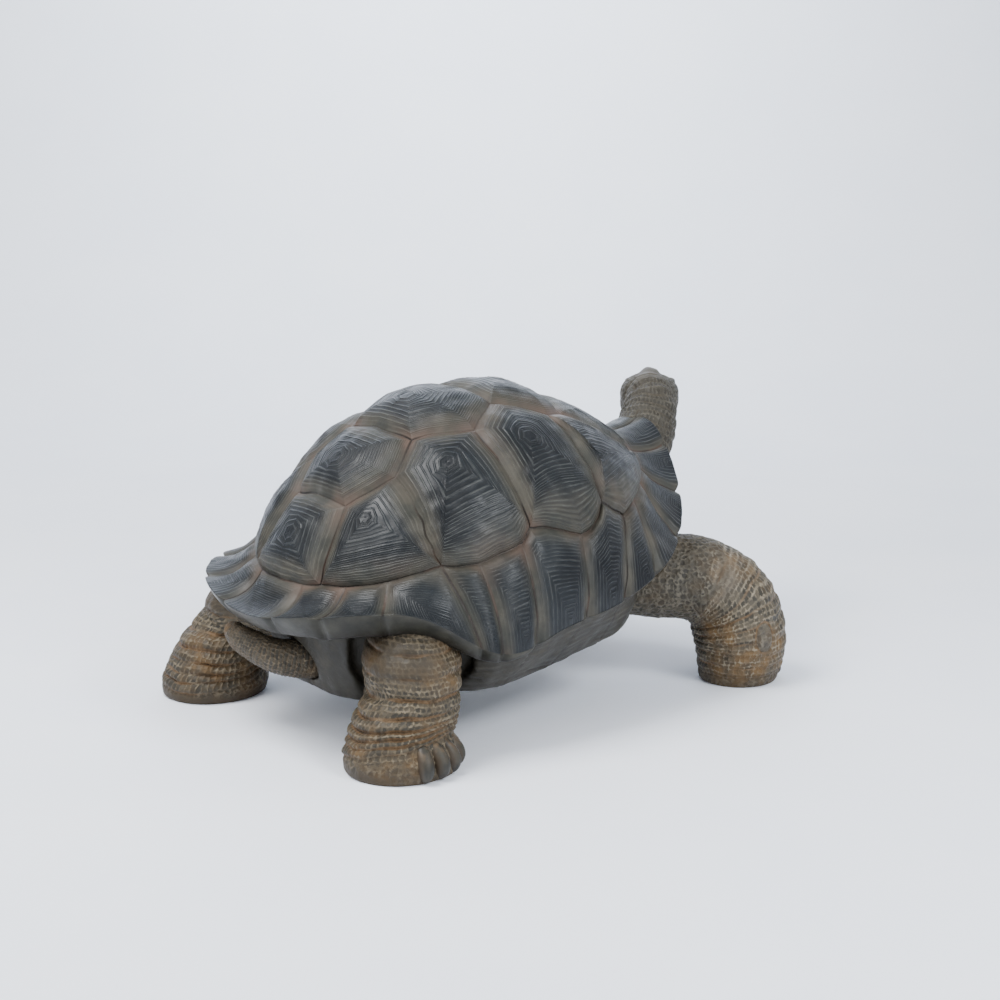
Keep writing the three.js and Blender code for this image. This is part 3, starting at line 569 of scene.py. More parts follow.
print("growth lines stand", RIDGE, "mm high on the dome")

# %% [markdown]
# The plates are made one by one and gathered into a single mesh, because the statue's shell is
# one casting. The gathering also flips a plate whose outline happens to run the other way.

# %% Gather the plates of the dome
MIDDLE_SEED, SIDE_SEED = 100, 200


def turns_left(places):
    x, y = places[:, 0], places[:, 1]
    return (x * np.roll(y, -1) - np.roll(x, -1) * y).sum() > 0


def add_plate(shell, corners, heart, hump, seed):
    true, plain = outline(corners)
    if not turns_left(true):
        true, plain = true[::-1], plain[::-1]
    meets = [on_disc(side * at[0], at[1]) for at, side in corners]
    points, face_sets, values = plate_mesh(true, plain, meets, on_disc(*heart), hump, seed)
    shell.add(held(points), face_sets, values)


shell = Gathered()
for number, (corners, heart, hump) in enumerate(MIDDLE_PLATES.values()):
    add_plate(shell, corners, heart, hump, MIDDLE_SEED + 10 * number)
for number, (corners, heart, hump) in enumerate(SIDE_PLATES.values()):
    for side in (1, -1):
        both = [(corner, side) for corner in corners]
        add_plate(shell, both, (side * heart[0], heart[1]), hump, SIDE_SEED + 20 * number + 5 * side)
print("dome has", shell.count, "points")

# %% [markdown]
# ## The border plates
# Under the dome a row of border plates flares out to the rim, turns under in a dark lip and
# runs back up inside the shell. Their growth lines open towards the rim, like the letter U
# turned over, because these plates only grow on three sides. Each plate is one grid from the
# seam, over the rim and the lip, to the middle of the shell's hollow, so the shell closes.

# %% Tables of the border
RIM_RADIUS = [446, 454, 413, 375, 350, 374, 428, 464, 492]
RIM_HEIGHT = [237, 262, 268, 187, 210, 235, 293, 390, 484]
FLARE = [-14, -14, -8, 10, 16, 12, -4, -8, -8]      # bulge of a border plate, + is out
BORDER_SEAMS = [        # [corner of the seam line, angle at the rim]
    (1, 10), (3, 24), (4, 38), (5, 62), (6, 68), (8, 79), (10, 98), (13, 113), (14, 126),
    (15, 140), (16, 154), (17, 168), (18, 180),
]


def rim_points(degrees):
    a = np.radians(degrees)
    radius = around(RIM_RADIUS, degrees)
    return np.stack([radius * np.sin(a), radius * np.cos(a), around(RIM_HEIGHT, degrees)], -1)


def border_surface(top, rim, degrees, down):
    """The plain border, down from 0 at the seam to 1 at the rim, and the way out of it."""
    x, y, z = np.moveaxis(rim - top, -1, 0)
    flat = np.hypot(x, y)
    out = unit(np.stack([-z * x / flat, -z * y / flat, flat], -1))
    bulge = 4 * down * (1 - down) * around(FLARE, degrees)
    return top + (rim - top) * down[..., None] + out * bulge[..., None], out


print("border plates:", 2 * len(BORDER_SEAMS) - 1)

# %% [markdown]
# The relief of a border plate is made of the same parts as that of a plate on the dome: a valley
# along each seam, a low hump and growth lines, here paler and flatter. A number for every point
# tells how far it lies to one side of the old part or how near the seam, and the larger of the
# two is its share, which gives the turned U.

# %% Relief of a border plate
BORDER_HUMP = 5
BORDER_LINES = 22
BORDER_FIRST, BORDER_LAST = 0.95, 0.06  # shares of the outer and inner line
BORDER_BOLD = 0.55      # the lines of the border are this much of those on the dome
BORDER_LINE_WIDTH = 0.24    # over the gap between two lines
BORDER_MEETING = 30     # reach in millimetres of the rust at a border plate's upper corners


def border_relief(s, down, width, tall, surface, heart, seed):
    """Height of the relief and paint values, for s along the plate and down to the rim."""
    flat = surface.reshape(-1, 3)

    def wave(size, number):
        return waves(flat, size, number).reshape(s.shape)

    aside = np.minimum(s, 1 - s) * width
    gap = np.minimum(aside, down * tall)
    sideways = np.where(s > heart, (s - heart) / (1 - heart), (heart - s) / heart)
    share = np.maximum(sideways, 1 - down) + 0.008 * wave(70, seed) + 0.003 * wave(20, seed + 1)
    lines = np.linspace(BORDER_FIRST, BORDER_LAST, BORDER_LINES)
    lines = lines + np.random.default_rng(seed).uniform(-0.012, 0.012, BORDER_LINES)
    ring = np.interp(-share, -lines, np.arange(BORDER_LINES))
    spread = step(CROWDED, ROOMY, np.where(sideways > 1 - down, 0.5 * width, tall) / BORDER_LINES)
    thirds = np.abs(ring / STRONG - np.round(ring / STRONG)) * STRONG
    off_line = np.abs(ring - np.round(ring)) * spread + thirds * (1 - spread)
    line = bell(off_line, BORDER_LINE_WIDTH) * step(2.5, 6, gap) * (share < lines[0] + 0.03)
    strength = np.clip(0.7 + 0.35 * wave(45, seed + 2), 0.15, 1.2)
    hump = BORDER_HUMP * (1 - np.abs(2 * s - 1) ** 1.8) * (1 - 0.75 * down)
    cracked = np.clip(0.50 + 0.6 * wave(200, SEAM_SEED + 1), 0.1, 1)
    height = seam_valley(gap, cracked, SHOULDER * (1 - 0.7 * down)) + hump
    height = height + BORDER_BOLD * RIDGE * line * strength
    height = height + 0.4 * wave(35, seed + 3) * step(0, CALM_TO, gap)
    return height, {
        "gap": gap,
        "ring": ring,
        "inner": 1 - np.clip(share, 0, 1),
        "cracked": cracked,
        "spread": spread,
        "meet": bell(np.hypot(aside, down * tall), BORDER_MEETING),
        "under": 0 * s,
        "bold": 0 * s + BORDER_BOLD,
    }


print("growth lines on a border plate:", BORDER_LINES)

# %% [markdown]
# A border plate must meet the dome without a slit, so over its first few millimetres it is bent
# onto the dome's own edge. At the rim it is notched towards its neighbours. Below the rim the
# lip turns down and in, and from there a few plain rows run up to the roof of the hollow.

# %% Foot, rim and inside of a border plate
FOOT_BLEND = 9          # over this length a border plate bends to meet the dome's edge exactly
RIM_NOTCH = 7           # depth of the notch where two border plates meet at the rim
NOTCH_WIDTH = 9
LIP_DROP = [30, 44, 44, 20, 3, 6, 26, 34, 34]       # how far the rim turns down
LIP_INSET = [26, 26, 26, 14, 8, 10, 24, 26, 26]     # and in under itself
LIP_BULGE = 3           # the lip is slightly rounded
LIP_NICK = 1.2          # depth of the nick in the lip where two plates meet
NICK_WIDTH = 2.5
ROOF_RATIO = 0.84       # radius of the roof's edge, over that of the seam line
ROOF_DROP = 26          # the roof of the hollow lies this far under the seam line
CEILING_RISE = 70       # and rises this much to its middle
LIP_ROWS = 12
INNER_ROWS = 10
CEILING_ROWS = 8


def bend_to_dome(surface, top_places, from_seam):
    """The face of a border plate with its first row laid on the edge of the dome's plates."""
    sunk = -GROOVE - CRACK * sharpness(top_places)
    foot = on_dome(top_places) + dome_normals(top_places) * sunk[:, None]
    return surface + (foot - surface[0]) * bell(from_seam, FOOT_BLEND)[..., None]


def notch_rim(surface, aside, down):
    """Draws the rim in towards the plate's two side seams."""
    notch = RIM_NOTCH * bell(aside, NOTCH_WIDTH) * step(0.72, 1, down)
    surface[..., :2] -= unit(surface[..., :2]) * notch[..., None]


def rows_inside(edge_row, degrees, aside):
    """Rows of points from the rim round the lip, up to the roof and to the hollow's middle."""
    away = unit(edge_row[:, :2])
    lip = edge_row.copy()
    lip[:, :2] -= away * around(LIP_INSET, degrees)[:, None]
    lip[:, 2] -= around(LIP_DROP, degrees)
    turn = np.linspace(0, 1, LIP_ROWS + 1)[1:, None]
    lip_rows = edge_row + turn[..., None] * (lip - edge_row)
    swell = LIP_BULGE * np.sin(math.pi * turn) ** 0.6 - LIP_NICK * bell(aside, NICK_WIDTH)
    lip_rows[..., :2] += away * swell[..., None]

    a = np.radians(degrees)
    radius = around(SEAM_RADIUS, degrees) * ROOF_RATIO
    roof = np.stack([radius * np.sin(a), radius * np.cos(a), around(SEAM_HEIGHT, degrees) - ROOF_DROP], -1)
    up = np.linspace(0, 1, INNER_ROWS + 1)[1:, None, None]
    centre = np.array([0, 0, np.mean(SEAM_HEIGHT) - ROOF_DROP])
    inwards = np.linspace(1, 0, CEILING_ROWS + 1)[1:, None, None]
    ceiling = centre + inwards * (roof - centre)
    ceiling[..., 2] += CEILING_RISE * (1 - inwards[..., 0] ** 2)
    return np.concatenate([lip_rows, lip + up * (roof - lip), ceiling])


def values_inside(aside):
    """The paint values of those rows. The paint gets darker along the lip, as painted shade under the rim,
    and is plain above, with painted shade in the hollow.
    """
    shape = (LIP_ROWS + INNER_ROWS + CEILING_ROWS, len(aside))
    under = np.full(shape, 2.0)
    under[:LIP_ROWS] = np.linspace(0.3, 1, LIP_ROWS)[:, None]
    plain = {"ring": 0.5, "inner": 0.0, "cracked": 0.8, "spread": 0.0, "meet": 0.0, "bold": BORDER_BOLD}
    values = {key: np.full(shape, value) for key, value in plain.items()}
    return {**values, "gap": np.broadcast_to(aside, shape), "under": under}


print("rows from the rim to the hollow's middle:", LIP_ROWS + INNER_ROWS + CEILING_ROWS)

# %% [markdown]
# Each border plate stands on its own run of the seam line. The plate over the tail is drawn once,
# in one piece across the middle, and every other plate once on each side.

# %% Gather the border plates
OUTER_ROWS = 88
HEART_ALONG = 0.62      # the old part of a border plate lies a little towards the neck
BORDER_SEED = 400


def border_plate(top_places, rim_from, rim_to, heart, seed):
    """Points, faces and paint values of one border plate, its lip and its way inside."""
    top = on_dome(top_places)
    reach = np.concatenate([[0], np.cumsum(np.linalg.norm(np.diff(top, axis=0), axis=1))])
    along = reach / reach[-1]
    degrees = rim_from + (rim_to - rim_from) * along
    rim = rim_points(degrees)
    tall = np.linalg.norm(rim - top, axis=1)
    s, down = np.meshgrid(along, np.linspace(0, 1, OUTER_ROWS))
    width = reach[-1] * (1 - down) + np.linalg.norm(np.diff(rim, axis=0), axis=1).sum() * down
    aside = np.minimum(s, 1 - s) * width
    surface, out = border_surface(top[None], rim[None], degrees, down)
    height, values = border_relief(s, down, width, tall, surface, heart, seed)
    surface = bend_to_dome(surface + out * height[..., None], top_places, down * tall)
    notch_rim(surface, aside, down)
    rows = np.concatenate([surface, rows_inside(surface[-1], degrees, aside[-1])])
    inside = values_inside(aside[-1])
    values = {key: np.concatenate([values[key], inside[key]]).ravel() for key in values}
    return rows.reshape(-1, 3), grid_faces(len(rows), len(along))[:, ::-1], values


def add_border(shell):
    first, rim_from = 0, 0
    for number, (last, rim_to) in enumerate(BORDER_SEAMS):
        if first == 0:
            places = np.concatenate([seam_run(last, 0, -1)[:-1], seam_run(0, last, 1)])
            spans = [(places, -rim_to, rim_to, 0.5)]
        else:
            spans = [
                (seam_run(first, last, 1), rim_from, rim_to, HEART_ALONG),
                (seam_run(first, last, -1)[::-1], -rim_to, -rim_from, 1 - HEART_ALONG),
            ]
        for k, (places, start, end, heart) in enumerate(spans):
            seed = BORDER_SEED + 20 * number + 7 * k
            points, faces, values = border_plate(wandered(places), start, end, heart, seed)
            shell.add(held(points), [faces], values)
        first, rim_from = last, rim_to


add_border(shell)
print("whole shell has", shell.count, "points")

# %% [markdown]
# Neighbouring plates share the points of their seams, so a weld joins them into one casting.

# %% Weld the shell
WELD = 0.00001


def weld(thing, distance=WELD):
    body = bmesh.new()
    body.from_mesh(thing.data)
    before = len(body.verts)
    bmesh.ops.remove_doubles(body, verts=body.verts, dist=distance)
    bmesh.ops.recalc_face_normals(body, faces=body.faces)
    body.to_mesh(thing.data)
    print(thing.name, "welded", before - len(body.verts), "points, kept", len(body.verts))
    body.free()


carapace = shell.object("shell")
weld(carapace)

# %% [markdown]
# ## The limbs
# Legs, neck and tail start as tubes through a few stations, each with a place, a half width
# and a half depth. The rings of a leg turn level towards the sole, so the foot stands flat.
# A limb also remembers its rings, and can tell for any point near it how far up it lies and at
# which angle. Folds and rows of scales are laid out in those two numbers.

# %% Stations of the limbs, for the animal's left side
HIND_LEG = [
    (100, 142, 172, 80, 80), (190, 222, 176, 86, 80), (246, 264, 150, 87, 82),
    (262, 268, 120, 77, 72), (261, 290, 68, 82, 88), (266, 299, 28, 94, 101), (268, 302, 0, 92, 98),
]
FRONT_LEG = [
    (100, -280, 212, 80, 78), (180, -370, 208, 82, 78), (232, -439, 198, 84, 78),
    (271, -482, 160, 88, 82), (287, -499, 104, 89, 86), (288, -503, 46, 82, 82), (284, -503, 0, 74, 76),
]
STEP_BACK = (28, 37)        # the left hind foot stands this much further out and back
TAIL = [
    (-8, 262, 132, 40, 36), (0, 330, 132, 38, 33), (26, 374, 142, 33, 28), (78, 398, 160, 27, 23),
    (118, 400, 172, 19, 17), (130, 399, 176, 8, 7),
]
NECK = [
    (0, -262, 290, 84, 76), (0, -390, 330, 76, 70), (6, -474, 383, 69, 64), (26, -538, 452, 66, 57),
    (62, -580, 501, 58, 48), (104, -612, 506, 42, 38),
]
TORSO_RADIUS = [318, 268, 196, 214, 226, 214, 206, 280, 330]
TORSO_LOW = [112, 110, 110, 112, 124, 150, 176, 190, 196]
TORSO_HIGH = [330, 330, 340, 350, 360, 370, 390, 420, 440]

print("stations of hind leg, front leg, tail and neck:", *map(len, (HIND_LEG, FRONT_LEG, TAIL, NECK)))

# %% [markdown]
# A tube is read from its stations as a smooth curve, with an oval ring at each step. To find a
# point on it again, the two rings are sought between whose planes the point lies.

# %% A tube that remembers its rings
FACING = np.array([0.0, 1.0, 0.0])      # the depth of a limb is measured towards the tail
RINGS = 110
TUBE_SIDES = 64
LEVEL_FROM, LEVEL_TO = 2.4, 0.8         # a leg's rings turn level between these stations from its end
NOT_CROSSED = 50        # added to the score of rings that a point doesn't lie between


def mirrored(stations):
    return [(-x, *rest) for x, *rest in stations]


def stepped(stations, out, back):
    """The stations with the foot set further out and back, and the hip where it was."""
    shares = step(0, len(stations) - 2, np.arange(len(stations)))
    return [(x + out * s, y + back * s, *rest) for (x, y, *rest), s in zip(stations, shares)]


def read_stations(table, u):
    last = len(table) - 1
    i = np.minimum(u.astype(int), last - 1)
    at = [table[np.clip(i + k, 0, last)] for k in (-1, 0, 1, 2)]
    return smooth(*at, (u - i)[:, None])


class Limb:
    """A bent tube with oval rings, which can tell where on it a point lies."""

    def __init__(self, stations, standing=False):
        table = np.array(stations, float)
        last = len(table) - 1
        u = np.linspace(0, last, RINGS)
        rings = read_stations(table, u)
        self.centre, self.half = rings[:, :3], rings[:, 3:]
        ahead, behind = (read_stations(table, np.clip(u + shift, 0, last)) for shift in (0.05, -0.05))
        self.way = unit((ahead - behind)[:, :3])
        if standing:
            down = step(last - LEVEL_FROM, last - LEVEL_TO, u)[:, None]
            self.way = unit(self.way * (1 - down) + np.array([0, 0, -1]) * down)
        self.depth = unit(FACING - self.way * (self.way @ FACING)[:, None])
        self.width = np.cross(self.depth, self.way)
        steps = np.linalg.norm(np.diff(self.centre, axis=0), axis=1)
        self.length = np.concatenate([np.cumsum(steps[::-1])[::-1], [0]])

    def tube(self):
        """Points and faces of the closed tube."""
        turn = np.linspace(0, 2 * math.pi, TUBE_SIDES, endpoint=False)[None, :, None]
        points = (
            self.centre[:, None]
            + self.width[:, None] * np.cos(turn) * self.half[:, None, :1]
            + self.depth[:, None] * np.sin(turn) * self.half[:, None, 1:]
        )
        return points.reshape(-1, 3), tube_faces(RINGS, TUBE_SIDES)

    def locate(self, points):
        """For each point: way up from the tip in mm, turn from 0 to 1, and 1 on the tube's skin."""
        away = points[:, None] - self.centre[None]
        ahead = (away * self.way).sum(-1)
        nearness = np.linalg.norm(away, axis=-1) / self.half.max(1)
        crosses = (ahead[:, :-1] >= 0) & (ahead[:, 1:] < 0)
        score = nearness[:, :-1] + np.where(crosses, 0, NOT_CROSSED)
        k = score.argmin(1)
        rows = np.arange(len(points))
        a, b = ahead[rows, k], ahead[rows, k + 1]
        w = np.clip(a / np.where(np.abs(a - b) < 1e-9, 1, a - b), 0, 1)[:, None]

        def blend(array):
            return array[k] * (1 - w) + array[k + 1] * w

        offset = points - blend(self.centre)
        x = (offset * blend(self.width)).sum(-1) / blend(self.half)[:, 0]
        y = (offset * blend(self.depth)).sum(-1) / blend(self.half)[:, 1]
        up = blend(self.length[:, None])[:, 0]
        beyond = (score[rows, k] > NOT_CROSSED - 10) & (up > 1)
        return up, np.arctan2(y, x) / (2 * math.pi) % 1, np.hypot(x, y) + 3.0 * beyond


LEGS = {
    "front_left": Limb(FRONT_LEG, standing=True),
    "front_right": Limb(mirrored(FRONT_LEG), standing=True),
    "hind_left": Limb(stepped(HIND_LEG, *STEP_BACK), standing=True),
    "hind_right": Limb(mirrored(HIND_LEG), standing=True),
}
neck_limb = Limb(NECK)
tail_limb = Limb(TAIL)
print("leg lengths:", {name: round(leg.length[0]) for name, leg in LEGS.items()})

# %% [markdown]
# ## The head
# The skull is a tube too, squarer than round, built level and then turned to the animal's left
# and nodded a little. A smooth crown plate rises on top, and brows stand over the eyes.

# %% Tables of the head
NAPE = (48, -566, 508)
HEAD_TURN = 45          # degrees from straight ahead to the animal's left
HEAD_NOD = -6
HEAD_LENGTH = 186
HEAD_SHAPE = [          # share of the length, half width, top, bottom
    (0, 42, 34, -40), (0.12, 54, 43, -50), (0.3, 63, 47, -54), (0.48, 60, 48, -51),
    (0.64, 52, 46, -46), (0.8, 43, 41, -41), (0.93, 33, 31, -34), (1, 20, 14, -20),
]
CROWN_HEIGHT = 14
CROWN_WIDTH = 19
HEAD_SQUARE = 2.4       # 2 is round, and more is squarer
EYE_RADIUS = 13
EYE_ALONG = 0.63
EYE_UP = 13
EYE_DEPTH = 8

head_pose = np.array(
    Matrix.Rotation(math.radians(180 + HEAD_TURN), 3, "Z") @ Matrix.Rotation(math.radians(HEAD_NOD), 3, "X")
)


def head_out(points):
    """From the level head to its place on the neck."""
    return points @ head_pose.T + NAPE


def head_in(points):
    return (points - NAPE) @ head_pose


def head_station(share):
    """Half width, top and bottom of the head at shares of its length."""
    table = np.array(HEAD_SHAPE)
    i = np.clip(np.searchsorted(table[:, 0], share, side="left"), 1, len(table) - 1)
    at = [table[np.clip(i + k, 0, len(table) - 1)] for k in (-2, -1, 0, 1)]
    w = (share - at[1][:, 0]) / (at[2][:, 0] - at[1][:, 0])
    return smooth(*at, w[:, None]).T[1:]


print("head is", HEAD_LENGTH, "mm long and looks", HEAD_TURN, "degrees to the left")

# %% [markdown]
# The ring of the skull is a square with very round corners, which one power of sine and cosine
# gives. Balls squashed to an egg shape make the brows here and the eyes and claws later on. The
# eyeballs are set so that they stand a little out of the skin.

# %% Points of the head
def bent(v, power):
    """A power that keeps the sign. Below 1 it turns a round form squarer."""
    return np.sign(v) * np.abs(v) ** power


def skull(rows=60, sides=72):
    share = np.linspace(0, 1, rows)[:, None]
    half_width, top, bottom = head_station(share[:, 0])[..., None]
    turn = np.linspace(0, 2 * math.pi, sides, endpoint=False)
    up = bent(np.sin(turn), 2 / HEAD_SQUARE)[None]
    x = -half_width * bent(np.cos(turn), 2 / HEAD_SQUARE)
    crown = CROWN_HEIGHT * np.exp(-((x / CROWN_WIDTH) ** 4)) * np.sin(math.pi * share) ** 2
    z = np.where(up > 0, up * (top + crown), -up * bottom)
    points = np.stack([x, np.broadcast_to(share * HEAD_LENGTH, x.shape), z], -1)
    return points.reshape(-1, 3), tube_faces(rows, sides)


def skin_at(share, height):
    """Half the width of the head at a share of its length and a height."""
    half_width, top, bottom = head_station(np.array([share]))[:, 0]
    up = min(abs(height / (top if height > 0 else bottom)), 1)
    return half_width * (1 - up**HEAD_SQUARE) ** (1 / HEAD_SQUARE)


def ball(place, radii, rows=20, sides=28):
    """Points and faces of an egg shape with its poles up and down."""
    up = np.linspace(-math.pi / 2, math.pi / 2, rows)[:, None]
    turn = np.linspace(0, 2 * math.pi, sides, endpoint=False)[None]
    shape = np.stack([np.cos(up) * np.cos(turn), np.cos(up) * np.sin(turn), np.sin(up) + 0 * turn], -1)
    return shape.reshape(-1, 3) * radii + place, [grid_faces(rows, sides, closed=True)]


EYES = {
    side: np.array([side * (skin_at(EYE_ALONG, EYE_UP) - EYE_DEPTH), EYE_ALONG * HEAD_LENGTH, EYE_UP])
    for side in (1, -1)
}
print("eyes stand", round(2 * EYES[1][0]), "mm apart")

# %% [markdown]
# ## Claws
# A hind foot has four thick nails and a front foot five. They are separate pieces with their
# own horny finish. Each nail leans out from its root, and a lump of the toe stands behind it.

# %% Claw shapes and their places
HIND_CLAWS = {"count": 4, "spread": 20, "reach": 78, "length": 32, "width": 15, "height": 34}
FRONT_CLAWS = {"count": 5, "spread": 24, "reach": 62, "length": 26, "width": 13, "height": 21}
FEET = {        # claws, side, and the angle of their middle outward from straight ahead
    "front_left": (FRONT_CLAWS, 1, 6),
    "front_right": (FRONT_CLAWS, -1, -14),
    "hind_left": (HIND_CLAWS, 1, 28),
    "hind_right": (HIND_CLAWS, -1, 70),
}
CLAW_LIFT = 1.5
CLAW_SQUARE = 0.95      # less than 1 is squarer than round
CLAW_TAPER = 0.10
CLAW_DEPTH = 0.60       # half the nail's depth, over the claw's length
CLAW_LINE = (0.28, -0.42, -0.36)    # bend of the nail's middle outward, by its height
CLAW_RIDGES = 6         # shallow ridges run down the nail


def claw_frames(name):
    """Each claw's place on the floor and its turn about the upright."""
    kind, side, aim = FEET[name]
    foot = LEGS[name].centre[-1]
    for i in range(kind["count"]):
        turn = math.pi + side * math.radians(aim + kind["spread"] * (i - (kind["count"] - 1) / 2))
        place = foot + np.array([-kind["reach"] * math.sin(turn), kind["reach"] * math.cos(turn), 0])
        yield kind, place, turn


def claw_points(kind, place, turn, rows=34, sides=44, swell=1.0, ridges=0.0):
    """A blunt nail like a fingertip: it comes out of the foot, bends over and runs down."""
    points, faces = ball(np.zeros(3), np.ones(3), rows, sides)
    x, y, z = points.T
    groove = 1 + ridges * np.cos(CLAW_RIDGES * math.pi * np.clip(x, -1, 1)) * np.cos(z * math.pi / 2)
    bend = CLAW_LINE[0] + CLAW_LINE[1] * z + CLAW_LINE[2] * z**2
    points = np.stack([
        bent(x, CLAW_SQUARE) * kind["width"] * swell * (1 - CLAW_TAPER * z),
        (bent(y, CLAW_SQUARE) * groove * CLAW_DEPTH * swell + bend) * kind["length"],
        CLAW_LIFT + kind["height"] * (1 + z * swell),
    ], -1)
    c, s = math.cos(turn), math.sin(turn)
    points = points @ np.array([[c, -s, 0], [s, c, 0], [0, 0, 1]]).T
    points[:, :2] += place[:2]
    return points, faces


print("claws on each foot:", {name: kind["count"] for name, (kind, _, _) in FEET.items()})

# %% [markdown]
# ## One skin
# Everything of flesh is joined into one skin, so no seam shows where a leg leaves the body.
# The tubes are thrown together, a voxel remesh melts them into one even mesh, and a few rounds
# of smoothing soften the joins. Only then are the folds and scales raised on it.

# %% Gather the body
TORSO_RINGS = [(0.8, 0), (0.97, 0.2), (1, 0.5), (0.97, 1)]     # share of the radius, and of the height
BROW_PLACE, BROW_SIZE = (2, -4, 17), (13, 26, 9)    # inward, along and up from the eye
TOE_LUMP = 0.93         # a toe's lump, over the size and reach of its claw


def torso_block(sides=96):
    """The trunk inside the shell, as a few level rings."""
    degrees = -360 * np.arange(sides) / sides
    a = np.radians(degrees)
    radius, low, high = (around(table, degrees) for table in (TORSO_RADIUS, TORSO_LOW, TORSO_HIGH))
    rings = [
        np.stack([radius * share * np.sin(a), radius * share * np.cos(a), low + (high - low) * up], -1)
        for share, up in TORSO_RINGS
    ]
    return np.concatenate(rings), tube_faces(len(TORSO_RINGS), sides)


def add_on_head(flesh, points, face_sets):
    flesh.add(head_out(points), face_sets)


flesh = Gathered()
for limb in (*LEGS.values(), neck_limb, tail_limb):
    flesh.add(*limb.tube())
flesh.add(*torso_block())
add_on_head(flesh, *skull())
for side, eye in EYES.items():
    inward, along, up = BROW_PLACE
    add_on_head(flesh, *ball(eye + np.array([-side * inward, along, up]), np.array(BROW_SIZE)))
for name, leg in LEGS.items():
    for kind, place, turn in claw_frames(name):
        toe = place * TOE_LUMP + leg.centre[-1] * (1 - TOE_LUMP)
        flesh.add(*claw_points(kind, toe, turn, 20, 24, TOE_LUMP))
print("body gathered from", len(flesh.points), "parts")

# %% [markdown]
# The voxel remesh rebuilds the whole lump as a skin of small squares. Its stairs are taken off by
# moving each point towards the middle of its neighbours, a few times over.

# %% Melt the body into one even mesh
VOXEL = 0.0024
SMOOTH_ROUNDS = 5


def melted(source, size):
    """The object's mesh after a voxel remesh, as points in millimetres and four-sided faces."""
    remesh = source.modifiers.new("melt", "REMESH")
    remesh.mode = "VOXEL"
    remesh.voxel_size = size
    done = source.evaluated_get(bpy.context.evaluated_depsgraph_get()).to_mesh()
    points = np.empty(len(done.vertices) * 3, np.float32)
    done.vertices.foreach_get("co", points)
    corners = np.empty(len(done.loops), np.int32)
    done.loops.foreach_get("vertex_index", corners)
    bpy.data.objects.remove(source)
    return (points.reshape(-1, 3).astype(float) - AXIS) / MM, corners.reshape(-1, 4)


def neighbours(faces):
    """The edges of a mesh, each in both directions."""
    pairs = np.concatenate([faces[:, [k, (k + 1) % 4]] for k in range(4)])
    return np.concatenate([pairs, pairs[:, ::-1]])


def summed(places, values, count):
    """Adds up rows of three values by the place that each belongs to."""
    return np.stack([np.bincount(places, values[:, k], minlength=count) for k in range(3)], -1)


def smoothed(points, pairs, rounds, weight=0.5):
    """Points moved towards the middle of their neighbours."""
    count = np.bincount(pairs[:, 0], minlength=len(points))[:, None]
    for _ in range(rounds):
        middle = summed(pairs[:, 0], points[pairs[:, 1]], len(points)) / count
        points = points + (middle - points) * weight
    return points


def mesh_normals(points, faces):
    across = points[faces[:, 2]] - points[faces[:, 0]]
    along = points[faces[:, 3]] - points[faces[:, 1]]
    total = summed(faces.ravel(), np.repeat(np.cross(across, along), 4, axis=0), len(points))
    return total / np.maximum(np.linalg.norm(total, axis=1, keepdims=True), 1e-12)


body, body_faces = melted(flesh.object("raw_body"), VOXEL)
edges_both_ways = neighbours(body_faces)
body = smoothed(body, edges_both_ways, SMOOTH_ROUNDS)
print("skin has", len(body), "points before its folds")

# %% [markdown]
# Where the tubes ran into each other there are still hard corners: at the nape, over the brows
# and where the limbs leave the trunk. Those places alone get many more rounds of smoothing.

# %% Soften the joins
JOIN_ROUNDS = 36
JOIN_WEIGHT = 0.6
NAPE_REACH = (75, 30)       # the join is soft from the first to the second of each pair
BROW_UP = 22
BROW_REACH = (18, 6)
BROW_ALONG = (60, 165)
TRUNK_REACH = (165, 120)
TRUNK_LOW = 90


def near_joins(points):
    """1 where pieces were joined and need to flow together, 0 elsewhere."""
    x, y, z = head_in(points).T
    nape = step(*NAPE_REACH, np.linalg.norm((points - NAPE) * [1, 1, 0.8], axis=1))
    brow = step(*BROW_REACH, np.abs(z - BROW_UP)) * (y > BROW_ALONG[0]) * (y < BROW_ALONG[1])
    brow = brow * step(75, 60, np.abs(x)) * (np.abs(z) < 60)
    trunk = step(*TRUNK_REACH, np.hypot(points[:, 0], points[:, 1] * 0.45) - TRUNK_LOW)
    trunk = trunk * (points[:, 2] > TRUNK_LOW)
    return np.clip(np.maximum(np.maximum(nape, 0.4 * brow), 0.7 * trunk), 0, 1)


body = smoothed(body, edges_both_ways, JOIN_ROUNDS, JOIN_WEIGHT * near_joins(body)[:, None])
plain_normals = mesh_normals(body, body_faces)
print("skin reaches from", body.min(0).round(), "to", body.max(0).round())

# %% [markdown]
# ## Folds and scales
# Tortoise skin lies in ring folds wherever a limb bends, with rows of squarish scales between
# them, and turns to small many-sided scales on the shoulders and feet. The net between the
# scales stands up and catches the dry-brushed pale paint, and the scales themselves lie lower.
# Two patterns make all of it: rows of bricks, and cells round seeded points.

# %% Two patterns of scales
def scattered(cells_at, seed, count):
    """Numbers from 0 to 1 that depend only on whole-number cells and the seed."""
    mix = cells_at @ np.array([73856093, 19349663, 83492791][: cells_at.shape[-1]]) + seed * 2654435761
    out = []
    for k in range(count):
        value = np.sin((mix % 1000003) * 12.9898 + 78.233 * (k + 1)) * 43758.5453
        out.append(value - np.floor(value))
    return np.stack(out, -1)


